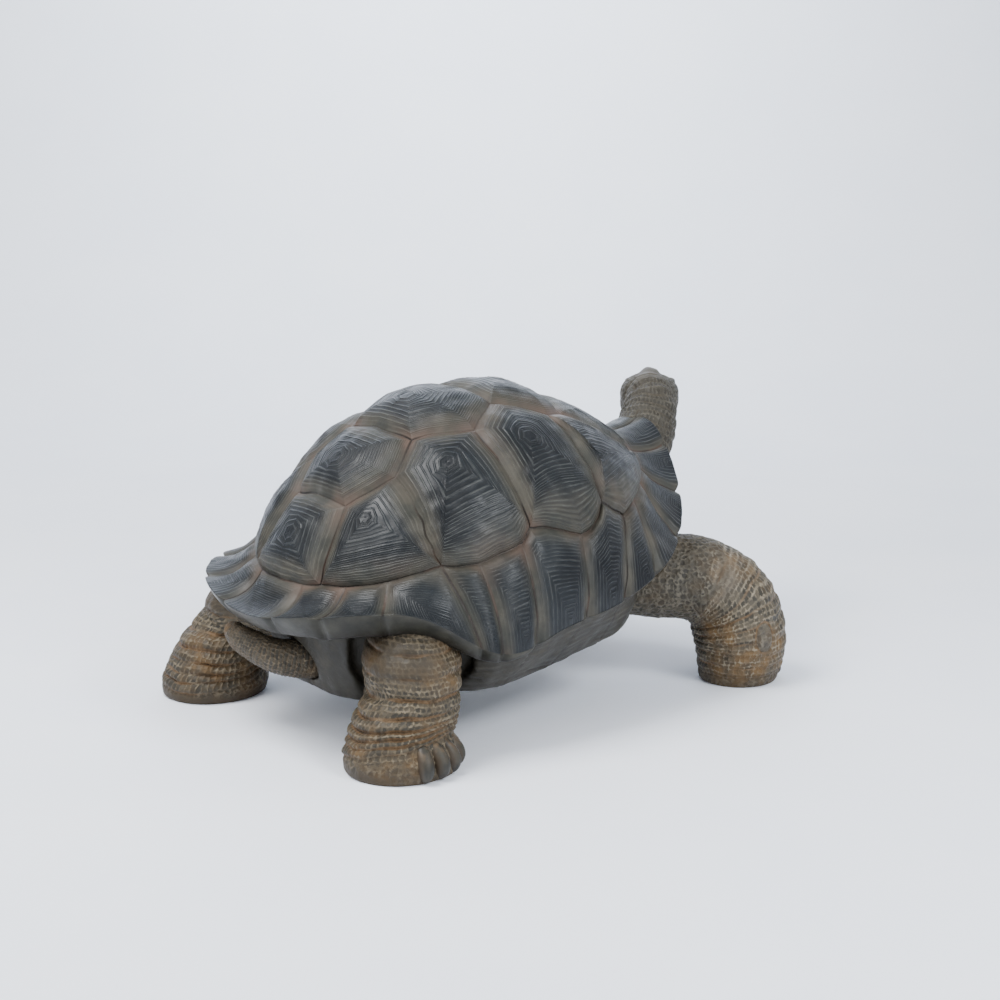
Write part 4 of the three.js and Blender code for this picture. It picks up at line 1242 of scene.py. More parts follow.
def cells(points, size, seed):
    """Distance in mm to the border between seeded cells, and a number for the cell."""
    scaled = points / size
    home = np.floor(scaled).astype(np.int64)
    first = np.full(len(points), 9.0)
    second = first.copy()
    key = np.zeros(len(points))
    for shift in np.ndindex(3, 3, 3):
        cell = home + np.array(shift) - 1
        drawn = scattered(cell, seed, 3)
        away = np.linalg.norm(scaled - cell - 0.12 - 0.76 * drawn, axis=1)
        closer = away < first
        second = np.where(closer, first, np.minimum(second, away))
        key = np.where(closer, drawn[:, 0], key)
        first = np.where(closer, away, first)
    return (second - first) * 0.5 * np.mean(size), key


def bricks(row, turn, count, wide, tall, seed, faint=1.0):
    """Rounded bricks in rows, with the count round the limb: distance in mm to the border, and a
    number for the brick. Upright borders are thinner than level ones where faint is more than 1."""
    at_row = np.floor(row)
    shift = scattered(at_row[:, None].astype(np.int64), seed, 1)[:, 0]
    column = (turn % 1) * count + shift
    cell = np.stack([at_row, np.floor(column) % count], -1).astype(np.int64)
    side, high = column - np.floor(column), row - at_row
    dx = np.minimum(side, 1 - side) * wide * faint
    dy = np.minimum(high, 1 - high) * tall
    near = -np.log(np.exp(-dx / 0.8) + np.exp(-dy / 0.8)) * 0.8
    return np.maximum(near, 0), scattered(cell, seed + 5, 1)[:, 0]


print("cell borders at three points:", cells(np.eye(3), 2.0, 1)[0].round(2))

# %% [markdown]
# Each leg has a list of creases: how high they lie on the toe side and on the heel side, how
# deep they are, and how many rows of scales lie above each. On the hind leg the lower creases
# fan out from the toes towards the heel, because the foot is set down at a slant.

# %% Creases of each limb
HIND_CREASES = [    # [height at the toes, height at the heel, depth, rows of scales above it]
    (-20, -20, 0, 7), (66, 22, 2.5, 1), (74, 40, 4.5, 1), (84, 54, 5.2, 2), (92, 74, 5.2, 2),
    (108, 98, 5.6, 3), (134, 127, 5.2, 4), (166, 163, 3.0, 4), (202, 202, 3.4, 4),
    (236, 236, 0, 4), (270, 270, 0, 4), (310, 310, 0, 1),
]
FRONT_CREASES = [
    (0, 0, 0, 3), (22, 22, 1.4, 2), (44, 42, 2.4, 3), (72, 68, 2.0, 3), (97, 92, 2.8, 3),
    (122, 116, 2.0, 3), (147, 141, 2.6, 3), (172, 165, 1.6, 3), (197, 190, 1.6, 3), (222, 214, 0.8, 3),
    (247, 240, 0.5, 3), (275, 270, 0.3, 5), (320, 320, 0, 6), (480, 480, 0, 1),
]
LEG_SEEDS = {"front_left": 31, "front_right": 37, "hind_left": 41, "hind_right": 47}


def toe_share(name, turn):
    """1 on the toe side of a leg and 0 on its heel side."""
    _, side, aim = FEET[name]
    way = math.pi + side * math.radians(aim)
    toes = np.array([-math.sin(way), math.cos(way), 0])
    limb = LEGS[name]
    toes_at = math.atan2(toes @ limb.depth[-1], toes @ limb.width[-1]) / (2 * math.pi) % 1
    return 0.5 + 0.5 * np.cos((turn - toes_at) * 2 * math.pi)


def banded(up, toe, creases):
    """Row of scales, share of the way up the band, its thickness in mm, the depth of the creases
    below and above it, and the height of its rows."""
    at_toe, at_heel, depth, rows = np.array(creases, float).T
    heights = at_heel[:, None] + (at_toe - at_heel)[:, None] * toe[None]
    band = np.clip((heights <= up[None]).sum(0) - 1, 0, len(creases) - 2)
    pick = np.arange(len(up))
    low, high = heights[band, pick], heights[band + 1, pick]
    share = np.clip((up - low) / (high - low), 0, 1)
    row = (np.cumsum(rows) - rows)[band] + share * rows[band]
    return row, share, high - low, depth[band], depth[band + 1], (high - low) / rows[band]


def skin_marks(edge, cell, dip, bulge, grey, sleek, dim):
    """The values kept for each point of the skin: distance in mm to the net of scales, number of
    the scale, depth in a fold, bulge between folds, greyness, bareness of scales, and darkness."""
    keys = ("edge", "cell", "dip", "bulge", "grey", "sleek", "dim")
    values = (edge, cell, dip, bulge, grey, sleek, dim)
    return {key: value + np.zeros(len(edge)) for key, value in zip(keys, values)}


print("creases on a hind and a front leg:", len(HIND_CREASES) - 2, len(FRONT_CREASES) - 2)

# %% [markdown]
# A leg is not the same all round. The hind leg is pinched under a smooth thigh and above the
# toes, the front leg has one large oval scale and gathered skin inside the elbow. Each such place
# is an oval on the leg, and a function tells how far a point lies from its middle.

# %% Single places on the legs
# Each place: height in mm, turn, half height, half width.
HIND_NOTCH = (142, 0.30, 16, 48)    # the leg is pinched here under its smooth top
HIND_SMOOTH = (192, 0.16, 34, 105)
HIND_WAIST = (118, 0.80, 20, 45)    # and a little over the toes
FRONT_SMOOTH = (206, 0.10, 27, 60)
FRONT_CREASE = (214, 0.09, 2.2, 25)
FRONT_KNEE = (98, 0.037, 22, 17)    # one large oval scale
FRONT_BEND = (105, 0.33, 60, 75)    # the skin is gathered here, inside the elbow
NOTCH_DEPTH, WAIST_DEPTH = 8.0, 5.0


def hind_places(points, level, toe, share, away, dip, bulge, seed):
    """Where small and large cells take the place of bricks, then dip, bulge and the colours."""
    small = step(215, 235, level)
    large = step(58, 30, level + 26 * (1 - toe))
    heel = step(24, 9, points[:, 2]) * step(0.1, 0.5, 1 - toe)
    sleek = np.clip(0.8 * step(1.25, 0.5, away(HIND_SMOOTH)) + heel, 0, 1)
    bulge = bulge - NOTCH_DEPTH * bell(away(HIND_NOTCH), 1) - WAIST_DEPTH * bell(away(HIND_WAIST), 1)
    dim = 0.34 + 0.06 * step(150, 200, level) + 0.30 * sleek
    return small, large, dip, bulge, 0, sleek, dim


def front_places(points, level, toe, share, away, dip, bulge, seed):
    gathered = bell(away(FRONT_BEND), 1)
    knee = away(FRONT_KNEE)
    on_knee = step(1.15, 0.95, knee)
    small = step(195, 235, level + 14 * waves(points, 70, seed + 8) + 70 * gathered)
    large = np.maximum(step(26, 10, level), step(1.1, 0.9, knee))
    dip = dip * (1 + 1.6 * gathered) * step(1.0, 1.5, knee)
    dip = dip + 2.6 * bell(knee - 1.12, 0.12) + 3.6 * bell(away(FRONT_CREASE), 1)
    bulge = bulge + 3.4 * gathered * np.sin(math.pi * share) ** 0.7
    bulge = bulge * step(0.9, 1.3, knee) + 2.4 * step(1.0, 0.6, knee)
    sleek = np.clip(0.6 * step(1.25, 0.5, away(FRONT_SMOOTH)) + 0.3 * on_knee, 0, 1)
    grey = np.clip(0.30 + 0.25 * step(1.2, 0.8, knee) + 0.30 * step(150, 215, level), 0, 1)
    dim = 0.34 * on_knee + 0.52 * (small > 0.5) * (1 - 0.5 * sleek)
    return small, large, dip, bulge, grey, sleek, dim


print("a hind leg is pinched in by", NOTCH_DEPTH, "and", WAIST_DEPTH, "mm")

# %% [markdown]
# With these, the marks of a whole leg can be read at any of its points. Slow waves shift the
# creases up and down and make them come and go, as no fold of skin runs straight.

# %% Marks on a leg
CREASE_WIDTH = 2.6
BAND_BULGE = 4.2
BRICK = 9.6             # width of a scale in millimetres
SMALL_CELL = {"hind": 7.8, "front": 10.5}
LARGE_CELL = 11.0
FAINT = {"hind": 1.0, "front": 1.7}     # how faint the upright borders of the bricks are
LEG_LOW = -19           # no mark is looked up lower than this


def marks_on_leg(name, points, up, turn):
    kind, right = name.split("_")[0], name.endswith("right")
    seed = LEG_SEEDS[name]
    girth = 2 * math.pi * LEGS[name].half.mean()
    toe = toe_share(name, turn)
    if kind == "hind":
        up = points[:, 2]

    def away(place):
        """1 on the oval of a single place, 0 at its middle."""
        middle, at, half_height, half_width = place
        across = (((turn if right else 0.5 - turn) - at + 0.5) % 1 - 0.5) * girth
        return np.hypot((up - middle) / half_height, across / half_width)

    level = up + 2.2 * waves(points, 120, seed) + 0.9 * waves(points, 45, seed + 1)
    creases, places = (HIND_CREASES, hind_places) if kind == "hind" else (FRONT_CREASES, front_places)
    row, share, thick, below, above, tall = banded(np.maximum(level, LEG_LOW), toe, creases)
    dip = below * bell(share * thick, CREASE_WIDTH) + above * bell((1 - share) * thick, CREASE_WIDTH)
    dip = dip * np.clip(0.70 + 0.45 * waves(points, 90, seed + 2), 0.2, 1.2)
    bulge = BAND_BULGE * np.sin(math.pi * share**0.65) ** 0.8 * np.clip((below + above) / 8, 0, 1)
    small, large, *rest = places(points, level, toe, share, away, dip, bulge, seed)

    shaken_row = row + 0.07 * waves(points, 22, seed + 4)
    shaken = turn + 0.0020 * waves(points, 30, seed + 3)
    edge, key = bricks(shaken_row, shaken, round(girth / BRICK), BRICK, tall, seed, FAINT[kind])
    for here, size, number in ((small, SMALL_CELL[kind], seed + 6), (large, LARGE_CELL, seed + 7)):
        cell_edge, cell_key = cells(points, size, number)
        edge = np.where(here > 0.5, cell_edge, edge)
        key = np.where(here > 0.5, cell_key, key)
    return skin_marks(edge, key, *rest)


print("scales in rows on the legs are", BRICK, "mm wide")

# %% [markdown]
# The neck is ringed by finer folds, with a few long ones that cross them, and the tail by plain
# rows of scales. On the head small cells turn into a few large ones towards the beak, and the
# crown plate and the beak itself are smooth.

# %% Marks on the neck, the tail and the head
NECK_RING = 21.0        # millimetres between the folds round the neck
NECK_SCALE = 9
LONG_FOLDS = 11         # long folds in the round of the neck
LONG_FOLD_RADIUS = 60
TAIL_ROW = 6.2
TAIL_COUNT, TAIL_SCALE = 26, 7.5
HEAD_CELL, BEAK_CELL = 9.0, 19.0
NAPE_RING = 14          # one deep fold where the head joins the neck


def marks_on_neck(points, up, turn):
    up = up + 4 * waves(points, 90, 61)
    share = up / NECK_RING % 1
    dip = 2.6 * bell(np.minimum(share, 1 - share) * NECK_RING, 2.6)
    dip = dip * np.clip(0.6 + 0.5 * waves(points, 80, 62), 0, 1)
    count = round(2 * math.pi * neck_limb.half.mean() / NECK_SCALE)
    shaken = turn + 0.0025 * waves(points, 30, 63)
    edge, key = bricks(up / NECK_RING * 2, shaken, count, NECK_SCALE, NECK_RING / 2, 64)
    from_fold = np.abs((turn * LONG_FOLDS + 0.25 * waves(points, 110, 65)) % 1 - 0.5)
    from_fold = from_fold * 2 * math.pi * LONG_FOLD_RADIUS / LONG_FOLDS
    dip = dip + 3.4 * bell(from_fold, 3.2) * np.clip(0.25 + waves(points, 120, 66), 0, 1)
    return skin_marks(edge, key, dip, 1.6 * np.sin(math.pi * share), grey=0.85, sleek=0, dim=0.72)


def marks_on_tail(points, up, turn):
    row = up / TAIL_ROW + 0.18 * waves(points, 40, 71)
    share = row % 1
    dip = 1.5 * bell(np.minimum(share, 1 - share) * TAIL_ROW, 1.4)
    shaken = turn + 0.004 * waves(points, 20, 72)
    edge, key = bricks(row, shaken, TAIL_COUNT, TAIL_SCALE, TAIL_ROW, 73)
    return skin_marks(edge + 0.8, key, dip, bulge=0, grey=0.05, sleek=0, dim=0.36)


def marks_on_head(points):
    x, y, z = head_in(points).T
    fine, fine_key = cells(points, HEAD_CELL, 81)
    big, big_key = cells(points, BEAK_CELL, 82)
    front = step(95, 120, y) > 0.5
    crown = step(30, 20, np.abs(x)) * step(20, 36, z)
    sleek = np.maximum(crown, step(150, 165, y))
    dip = 3.4 * bell(y - NAPE_RING - 4 * waves(points, 60, 83), 3.0) * step(-40, 5, z)
    edge, key = np.where(front, big, fine), np.where(front, big_key, fine_key)
    return skin_marks(edge, key, dip, bulge=0, grey=0.9, sleek=sleek, dim=0.70 - 0.04 * crown)


print("folds round the neck are", NECK_RING, "mm apart")

# %% [markdown]
# The mouth is a groove that rises towards its corners, the upper beak hangs a little over the
# lower one, and the nostrils are two pits. Round each eye the skin follows the eyeball as lids
# and sinks behind it in an almond-shaped opening.

# %% Shape the face
MOUTH_UP = -12
MOUTH_RISE = 22         # the corners of the mouth lie higher than its front
MOUTH_FROM = 0.46       # share of the head's length where the corners of the mouth are
MOUTH_DEPTH, MOUTH_WIDTH = 3.6, 2.0
NOSTRIL_ASIDE, NOSTRIL_UP = 8, 10
NOSTRIL_DEPTH, NOSTRIL_WIDTH = 3.4, 3.0
TEMPLE_DEPTH = 3.0
LID_THICK = 2.6
EYE_SUNK = 3.0          # inside the opening the skin lies this far under the eyeball's surface
EYE_OPENING = (12.5, 7.0)   # half its width and height


def face_shift(points):
    """How far the face's features move each point of the skin, out of the head."""
    x, y, z = head_in(points).T
    from_line = z - MOUTH_UP - MOUTH_RISE * (1 - y / HEAD_LENGTH) ** 2
    groove = -MOUTH_DEPTH * bell(from_line, MOUTH_WIDTH)
    beak = 2.0 * bell(from_line - 5.5, 4.5) - 1.2 * bell(from_line + 5, 4)
    out = step(MOUTH_FROM, MOUTH_FROM + 0.06, y / HEAD_LENGTH) * (groove + beak)
    for side in (1, -1):
        pit = np.hypot(x - side * NOSTRIL_ASIDE, (z - NOSTRIL_UP) * 1.2)
        out = out - (y > HEAD_LENGTH * 0.85) * NOSTRIL_DEPTH * bell(pit, NOSTRIL_WIDTH)
    temple = np.hypot((y - 62) / 20, (z + 2) / 22)
    out = out - TEMPLE_DEPTH * bell(temple, 1) * step(25, 40, np.abs(x))
    on_head = (np.abs(x) < 75) & (y > -10) & (y < HEAD_LENGTH + 12) & (np.abs(z) < 75)
    return np.where(on_head, out, 0)


def open_eyes(points):
    """Moves the skin round the eyes to make lids and an opening for each eyeball."""
    level = head_in(points)
    wide, tall = EYE_OPENING
    for side, eye in EYES.items():
        away = level - eye
        distance = np.linalg.norm(away, axis=1)
        almond = np.hypot(away[:, 1] / wide, (away[:, 2] + 1.0 - 0.06 * away[:, 1]) / tall)
        near = (away[:, 0] * side > 0) & (almond < 3.0) & (distance < 32)
        lid = step(2.6, 1.15, almond)
        raised = lid * np.maximum(EYE_RADIUS + LID_THICK - distance, 0)
        move = np.where(almond < 1, EYE_RADIUS - EYE_SUNK - distance, raised)
        reach = distance + move - 1.4 * bell(almond - 1.75, 0.14) * lid
        moved = eye + away * (reach / np.maximum(distance, 1e-6))[:, None]
        level = np.where(near[:, None], moved, level)
    return head_out(level)


print("the mouth is cut", MOUTH_DEPTH, "mm deep")

# %% [markdown]
# Every point of the skin now asks each limb how near it lies to that limb's own surface, and
# takes the marks of the nearest. This is done in chunks, to keep the arrays small. Points that
# no limb claims, under the shell, stay smooth.

# %% Find the marks of every point
CHUNK = 20000
NEAR_LIMB = 0.32        # a limb claims points this near to its surface, over its half width
LIMB_ROOM = 12

marks = skin_marks(np.full(len(body), 5.0), cell=0, dip=0, bulge=0, grey=0.2, sleek=1, dim=0.3)
closest = np.full(len(body), NEAR_LIMB)


def chunks(inside):
    rows = np.flatnonzero(inside)
    return [rows[i:i + CHUNK] for i in range(0, len(rows), CHUNK)]


def keep(rows, found):
    for key in marks:
        marks[key][rows] = found[key]


def mark_limb(limb, marks_at):
    """Keeps the marks of a limb where its surface is nearer than any before."""
    reach = limb.half.max() + LIMB_ROOM
    low, high = limb.centre.min(0) - reach, limb.centre.max(0) + reach
    for rows in chunks(((body > low) & (body < high)).all(1)):
        up, turn, shell_share = limb.locate(body[rows])
        found = marks_at(body[rows], up, turn)
        how_near = np.abs(shell_share - 1)
        better = how_near < closest[rows]
        closest[rows[better]] = how_near[better]
        keep(rows[better], {key: array[better] for key, array in found.items()})


for name, leg in LEGS.items():
    mark_limb(leg, lambda *at: marks_on_leg(name, *at))
mark_limb(tail_limb, marks_on_tail)
mark_limb(neck_limb, marks_on_neck)
x, y, z = head_in(body).T
for rows in chunks((y > -6) & (y < 200) & (np.abs(x) < 80) & (np.abs(z) < 75)):
    keep(rows, marks_on_head(body[rows]))
print("points with marks of a limb:", (closest < NEAR_LIMB).sum())

# %% [markdown]
# The marks become height: the net between the scales stands up, folds go in, and the skin bulges
# between them. It all dies out at the sole, so the feet stay flat.

# %% Raise the marks on the skin
NET_HEIGHT = 1.1
NET_WIDTH = 1.1
SOLE_CALM = 5.0         # the folds die out this close to the floor

net = bell(marks["edge"], NET_WIDTH) * (1 - marks["sleek"])
height = NET_HEIGHT * net - marks["dip"] + marks["bulge"]
height = height + 0.5 * waves(body, 26, 91) + 0.8 * waves(body, 70, 92) + face_shift(body)
height = height * step(0.5, SOLE_CALM, body[:, 2])
skin_points = held(open_eyes(body + plain_normals * height[:, None]))
skin = make_mesh("skin", skin_points, [body_faces], {
    **{key: marks[key] for key in ("edge", "cell", "dip", "grey", "sleek", "dim")},
    "height": skin_points[:, 2],
})
print("skin marked, folds down to", marks["dip"].max().round(1), "mm")

# %% [markdown]
# ## Claws and eyes
# The nails are cast in one with the feet but painted as horn, so they are pieces of their own.
# The eyes are dark glossy balls behind the lids.

# %% Make the claws and the eyes
CLAW_GROOVES = 0.018    # depth of the ridges on a claw, over its own depth
LOOK = (0.96, 0.26, 0.05)   # the eyes look outward and a little ahead

claws = []
for name in LEGS:
    for number, (kind, place, turn) in enumerate(claw_frames(name), 1):
        points, faces = claw_points(kind, place, turn, ridges=CLAW_GROOVES)
        points = held(points)
        flank = (points[:, :2] - place[:2]) @ np.array([math.cos(turn), math.sin(turn)])
        claw = make_mesh(f"claw_{name}_{number}", points, faces, {
            "root": step(1.0, 1.8, points[:, 2] / kind["height"]),
            "side": np.abs(flank) / kind["width"],
        })
        weld(claw)
        claws.append(claw)

eyes = []
for side, word in ((1, "right"), (-1, "left")):
    points, faces = ball(EYES[side], np.full(3, EYE_RADIUS), 40, 56)
    look = (points - EYES[side]) / EYE_RADIUS @ (np.array(LOOK) * [side, 1, 1])
    eye = make_mesh(f"eyeball_{word}", head_out(points), faces, {"iris": np.arccos(np.clip(look, -1, 1))})
    weld(eye)
    eyes.append(eye)
print("made", len(claws), "claws and", len(eyes), "eyes")

# %% [markdown]
# ## The lower shell
# The solid model already has the lower shell's walls and the openings for the legs, so its form
# is copied, melted to an even mesh and smoothed, and the seams between its plates are cut in.

# %% Lower shell from the solid model
PLASTRON_VOXEL = 0.004
PLASTRON_ROUNDS = 14
CROSS_SEAMS = [-250, -150, -40, 80, 190]    # where seams cross the underside, from the neck
WALL_SEAM = 110         # height of the seam along the side walls
SEAM_DEPTH, SEAM_WIDTH = 1.6, 2.6
RIDGE_ROWS = 13.0       # millimetres between the long ridges of the side walls
RIDGE_UP = 1.1
FAR = 50                # a distance that counts as no seam near


def copied_node(node, name):
    """A new object with the form of a node of the solid model."""
    source = next(o for o in bpy.context.scene.objects if o.get("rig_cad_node") == node)
    thing = bpy.data.objects.new(name, source.data.copy())
    thing.matrix_world = source.matrix_world
    bpy.context.collection.objects.link(thing)
    return thing


def lower_shell_relief(points, normals):
    """Height of the seams and ridges, with the two values that the paint needs."""
    x, y, z = points.T
    wobble = 4 * waves(points, 140, 501)
    on_wall = step(150, 230, np.abs(x)) * step(0.9, 0.5, np.abs(normals[:, 2]))
    middle = np.where(on_wall > 0.5, FAR, np.abs(x + wobble))
    wall = np.where(on_wall > 0.5, np.abs(z - (WALL_SEAM + 8 * np.sin(y / 90)) + wobble), FAR)
    cross = [np.abs(y + wobble * 1.5 + 0.02 * np.abs(x) - place) for place in CROSS_SEAMS]
    gap = np.min([middle, wall, *cross], axis=0)
    row = (z + 0.10 * y + 5 * waves(points, 160, 503)) / RIDGE_ROWS
    ridge = on_wall * bell(row % 1 - 0.5, 0.20) * (0.6 + 0.4 * waves(points, 70, 504))
    relief = -SEAM_DEPTH * bell(gap, SEAM_WIDTH) + 0.5 * waves(points, 40, 502) + RIDGE_UP * ridge
    return relief, {"gap": gap, "ridge": ridge}


wall_points, wall_faces = melted(copied_node("plastron", "plastron_copy"), PLASTRON_VOXEL)
wall_points = smoothed(wall_points, neighbours(wall_faces), PLASTRON_ROUNDS)
wall_normals = mesh_normals(wall_points, wall_faces)
relief, wall_values = lower_shell_relief(wall_points, wall_normals)
wall_points = wall_points + wall_normals * relief[:, None]
plastron = make_mesh("lower_shell", wall_points, [wall_faces], wall_values)
print("lower shell has", len(wall_points), "points")

# %% [markdown]
# ## Paint
# The casting is painted dark first and then dry-brushed, so raised lines are pale and hollows
# stay dark. Each paint below reads the values stored on the mesh, such as the distance to a
# seam, and breaks them up with noise so that nothing looks printed. A small class keeps the
# building of the node graphs short.

# %% A helper that builds paint
class Paint:
    """Builds the node graph of one paint from the values on the mesh and from noise."""

    def __init__(self, name, tone=1.0):
        self.tone = tone        # how light the whole paint is mixed
        self.material = bpy.data.materials.new(name)
        self.material.use_nodes = True
        self.tree = self.material.node_tree
        self.shader = self.tree.nodes["Principled BSDF"]
        self.place = self.tree.nodes.new("ShaderNodeTexCoord").outputs["Object"]

    def wire(self, source, socket):
        if isinstance(source, bpy.types.NodeSocket):
            self.tree.links.new(source, socket)
        else:
            socket.default_value = source

    def value(self, name):
        """A value stored on the mesh."""
        node = self.tree.nodes.new("ShaderNodeAttribute")
        node.attribute_name = name
        return node.outputs["Fac"]

    def noise(self, size, seed=0, detail=4.0, rough=0.55):
        """Cloudy noise from 0 to 1, with features of about the given size in metres."""
        shift = self.tree.nodes.new("ShaderNodeMapping")
        shift.inputs["Location"].default_value = (seed * 1.7, seed * 0.9, seed * 2.3)
        node = self.tree.nodes.new("ShaderNodeTexNoise")
        self.wire(self.place, shift.inputs["Vector"])
        self.wire(shift.outputs["Vector"], node.inputs["Vector"])
        node.inputs["Scale"].default_value = 1 / size
        node.inputs["Detail"].default_value = detail
        node.inputs["Roughness"].default_value = rough
        return node.outputs["Fac"]

    def ramp(self, source, low, high, bottom=0.0, top=1.0):
        """Bottom where the source is low, top where it is high, smooth between."""
        node = self.tree.nodes.new("ShaderNodeMapRange")
        node.interpolation_type = "SMOOTHSTEP"
        self.wire(source, node.inputs["Value"])
        for key, number in (("From Min", low), ("From Max", high), ("To Min", bottom), ("To Max", top)):
            node.inputs[key].default_value = number
        return node.outputs["Result"]

    def combine(self, operation, a, b):
        node = self.tree.nodes.new("ShaderNodeMath")
        node.operation = operation
        self.wire(a, node.inputs[0])
        self.wire(b, node.inputs[1])
        return node.outputs[0]

    def plus(self, a, b):
        return self.combine("ADD", a, b)

    def minus(self, a, b):
        return self.combine("SUBTRACT", a, b)

    def times(self, *factors):
        total = factors[0]
        for factor in factors[1:]:
            total = self.combine("MULTIPLY", total, factor)
        return total

    def mix(self, share, a, b):
        """Colour a where the share is 0 and colour b where it is 1."""
        node = self.tree.nodes.new("ShaderNodeMix")
        node.data_type = "RGBA"
        self.wire(share, node.inputs["Factor"])
        for socket, colour in ((node.inputs[6], a), (node.inputs[7], b)):
            if isinstance(colour, tuple):
                colour = (*(self.tone * c for c in colour), 1.0)
            self.wire(colour, socket)
        return node.outputs[2]

    def finish(self, colour, roughness, relief=None, depth=0.0005, shine=0.5):
        """Wires the paint to the shader, with a bump of the given depth in metres."""
        self.wire(colour, self.shader.inputs["Base Color"])
        self.wire(roughness, self.shader.inputs["Roughness"])
        self.shader.inputs["Specular IOR Level"].default_value = shine
        if relief is not None:
            bump = self.tree.nodes.new("ShaderNodeBump")
            bump.inputs["Distance"].default_value = depth
            self.wire(relief, bump.inputs["Height"])
            self.wire(bump.outputs["Normal"], self.shader.inputs["Normal"])
        return self.material


def give(paint, pieces):
    """Puts a finished paint on each of the pieces."""
    for piece in pieces:
        piece.data.materials.append(paint)
    print(paint.name, "pieces:", len(pieces), "nodes:", len(paint.node_tree.nodes))


# %% [markdown]
# The upper shell has blue-black plates, a taupe wash along the seams and pale growth lines. Two
# masks come first. One says where a line or a groove lies, found by folding the line numbers
# like a zigzag, and the other where the dark core of a plate gives way to the wash.

# %% Where the lines and the wash of the upper shell lie
WASH_REACH = 80         # the wash ends where the millimetres from the seam over this
WASH_SHARE = 0.9        # and the share of the plate over this add up to about 1


def line_masks(p):
    """Growth lines, the grooves beside them, and where lines show at all."""
    spread = p.value("spread")
    crowd = p.minus(1.0, spread)
    shaken = p.plus(p.value("ring"), p.times(p.noise(0.012, 9, 2.0), 0.12))
    near, thirds = p.combine("PINGPONG", shaken, 0.5), p.combine("PINGPONG", shaken, STRONG / 2)
    ridge = p.times(p.ramp(near, 0.22, 0.06), spread)
    ridge = p.plus(ridge, p.times(p.ramp(thirds, 0.62, 0.18), crowd))
    groove = p.times(p.ramp(near, 0.26, 0.46), spread)
    groove = p.plus(groove, p.times(p.ramp(thirds, 0.7, 1.3), crowd))
    bare = p.plus(p.times(p.minus(1.0, p.value("cracked")), SOFT_SEAM), 3.0)
    return ridge, groove, p.ramp(p.minus(p.value("gap"), bare), 0.0, 8.0, 0.30, 1.0)


def wash_mask(p):
    """0 on the dark core of a plate, 1 in the wash along its seams."""
    reach = p.plus(p.times(p.value("gap"), 1 / WASH_REACH), p.times(p.value("inner"), 1 / WASH_SHARE))
    reach = p.plus(reach, p.ramp(p.noise(0.10, 10, 2.0), 0.3, 0.7, -0.16, 0.16))
    reach = p.plus(reach, p.ramp(p.value("bold"), BORDER_BOLD, 1.0, 0.24, 0.0))
    return p.ramp(reach, 1.12, 0.28)


print("the wash reaches less than", WASH_REACH, "mm in from a seam")

# %% [markdown]
# The colours are then laid one over the other, as in the workshop: the ground coat and the wash,
# a breath of terracotta where plates meet, dry-brushed lines, a dark old plate in the middle,
# the crack and the lip. Last comes painted shade under the lip and in the hollow below the rim.

# %% Paint of the upper shell
SHELL_TONE = 0.72
BLUE_BLACK, SLATE = (0.005, 0.007, 0.010), (0.016, 0.020, 0.024)
TAUPE, PALE_TAUPE, WARM_TAUPE = (0.040, 0.041, 0.034), (0.074, 0.068, 0.053), (0.090, 0.069, 0.054)
TERRACOTTA = (0.124, 0.080, 0.060)
LINE_ON_CORE, LINE_ON_WASH = (0.096, 0.102, 0.095), (0.122, 0.122, 0.102)
GROOVE_BLACK, OLD_PLATE = (0.016, 0.017, 0.017), (0.008, 0.010, 0.013)
CRACK_BLACK, CRACK_RUST = (0.020, 0.016, 0.013), (0.056, 0.037, 0.027)
LIP_DARK, LIP_PALE = (0.020, 0.020, 0.016), (0.052, 0.049, 0.038)
# Painted shade: under the rim's lip and in the hollow inside the shell.
UNDER_LIP_SHADE, HOLLOW_SHADE = (0.018, 0.016, 0.012), (0.034, 0.022, 0.012)


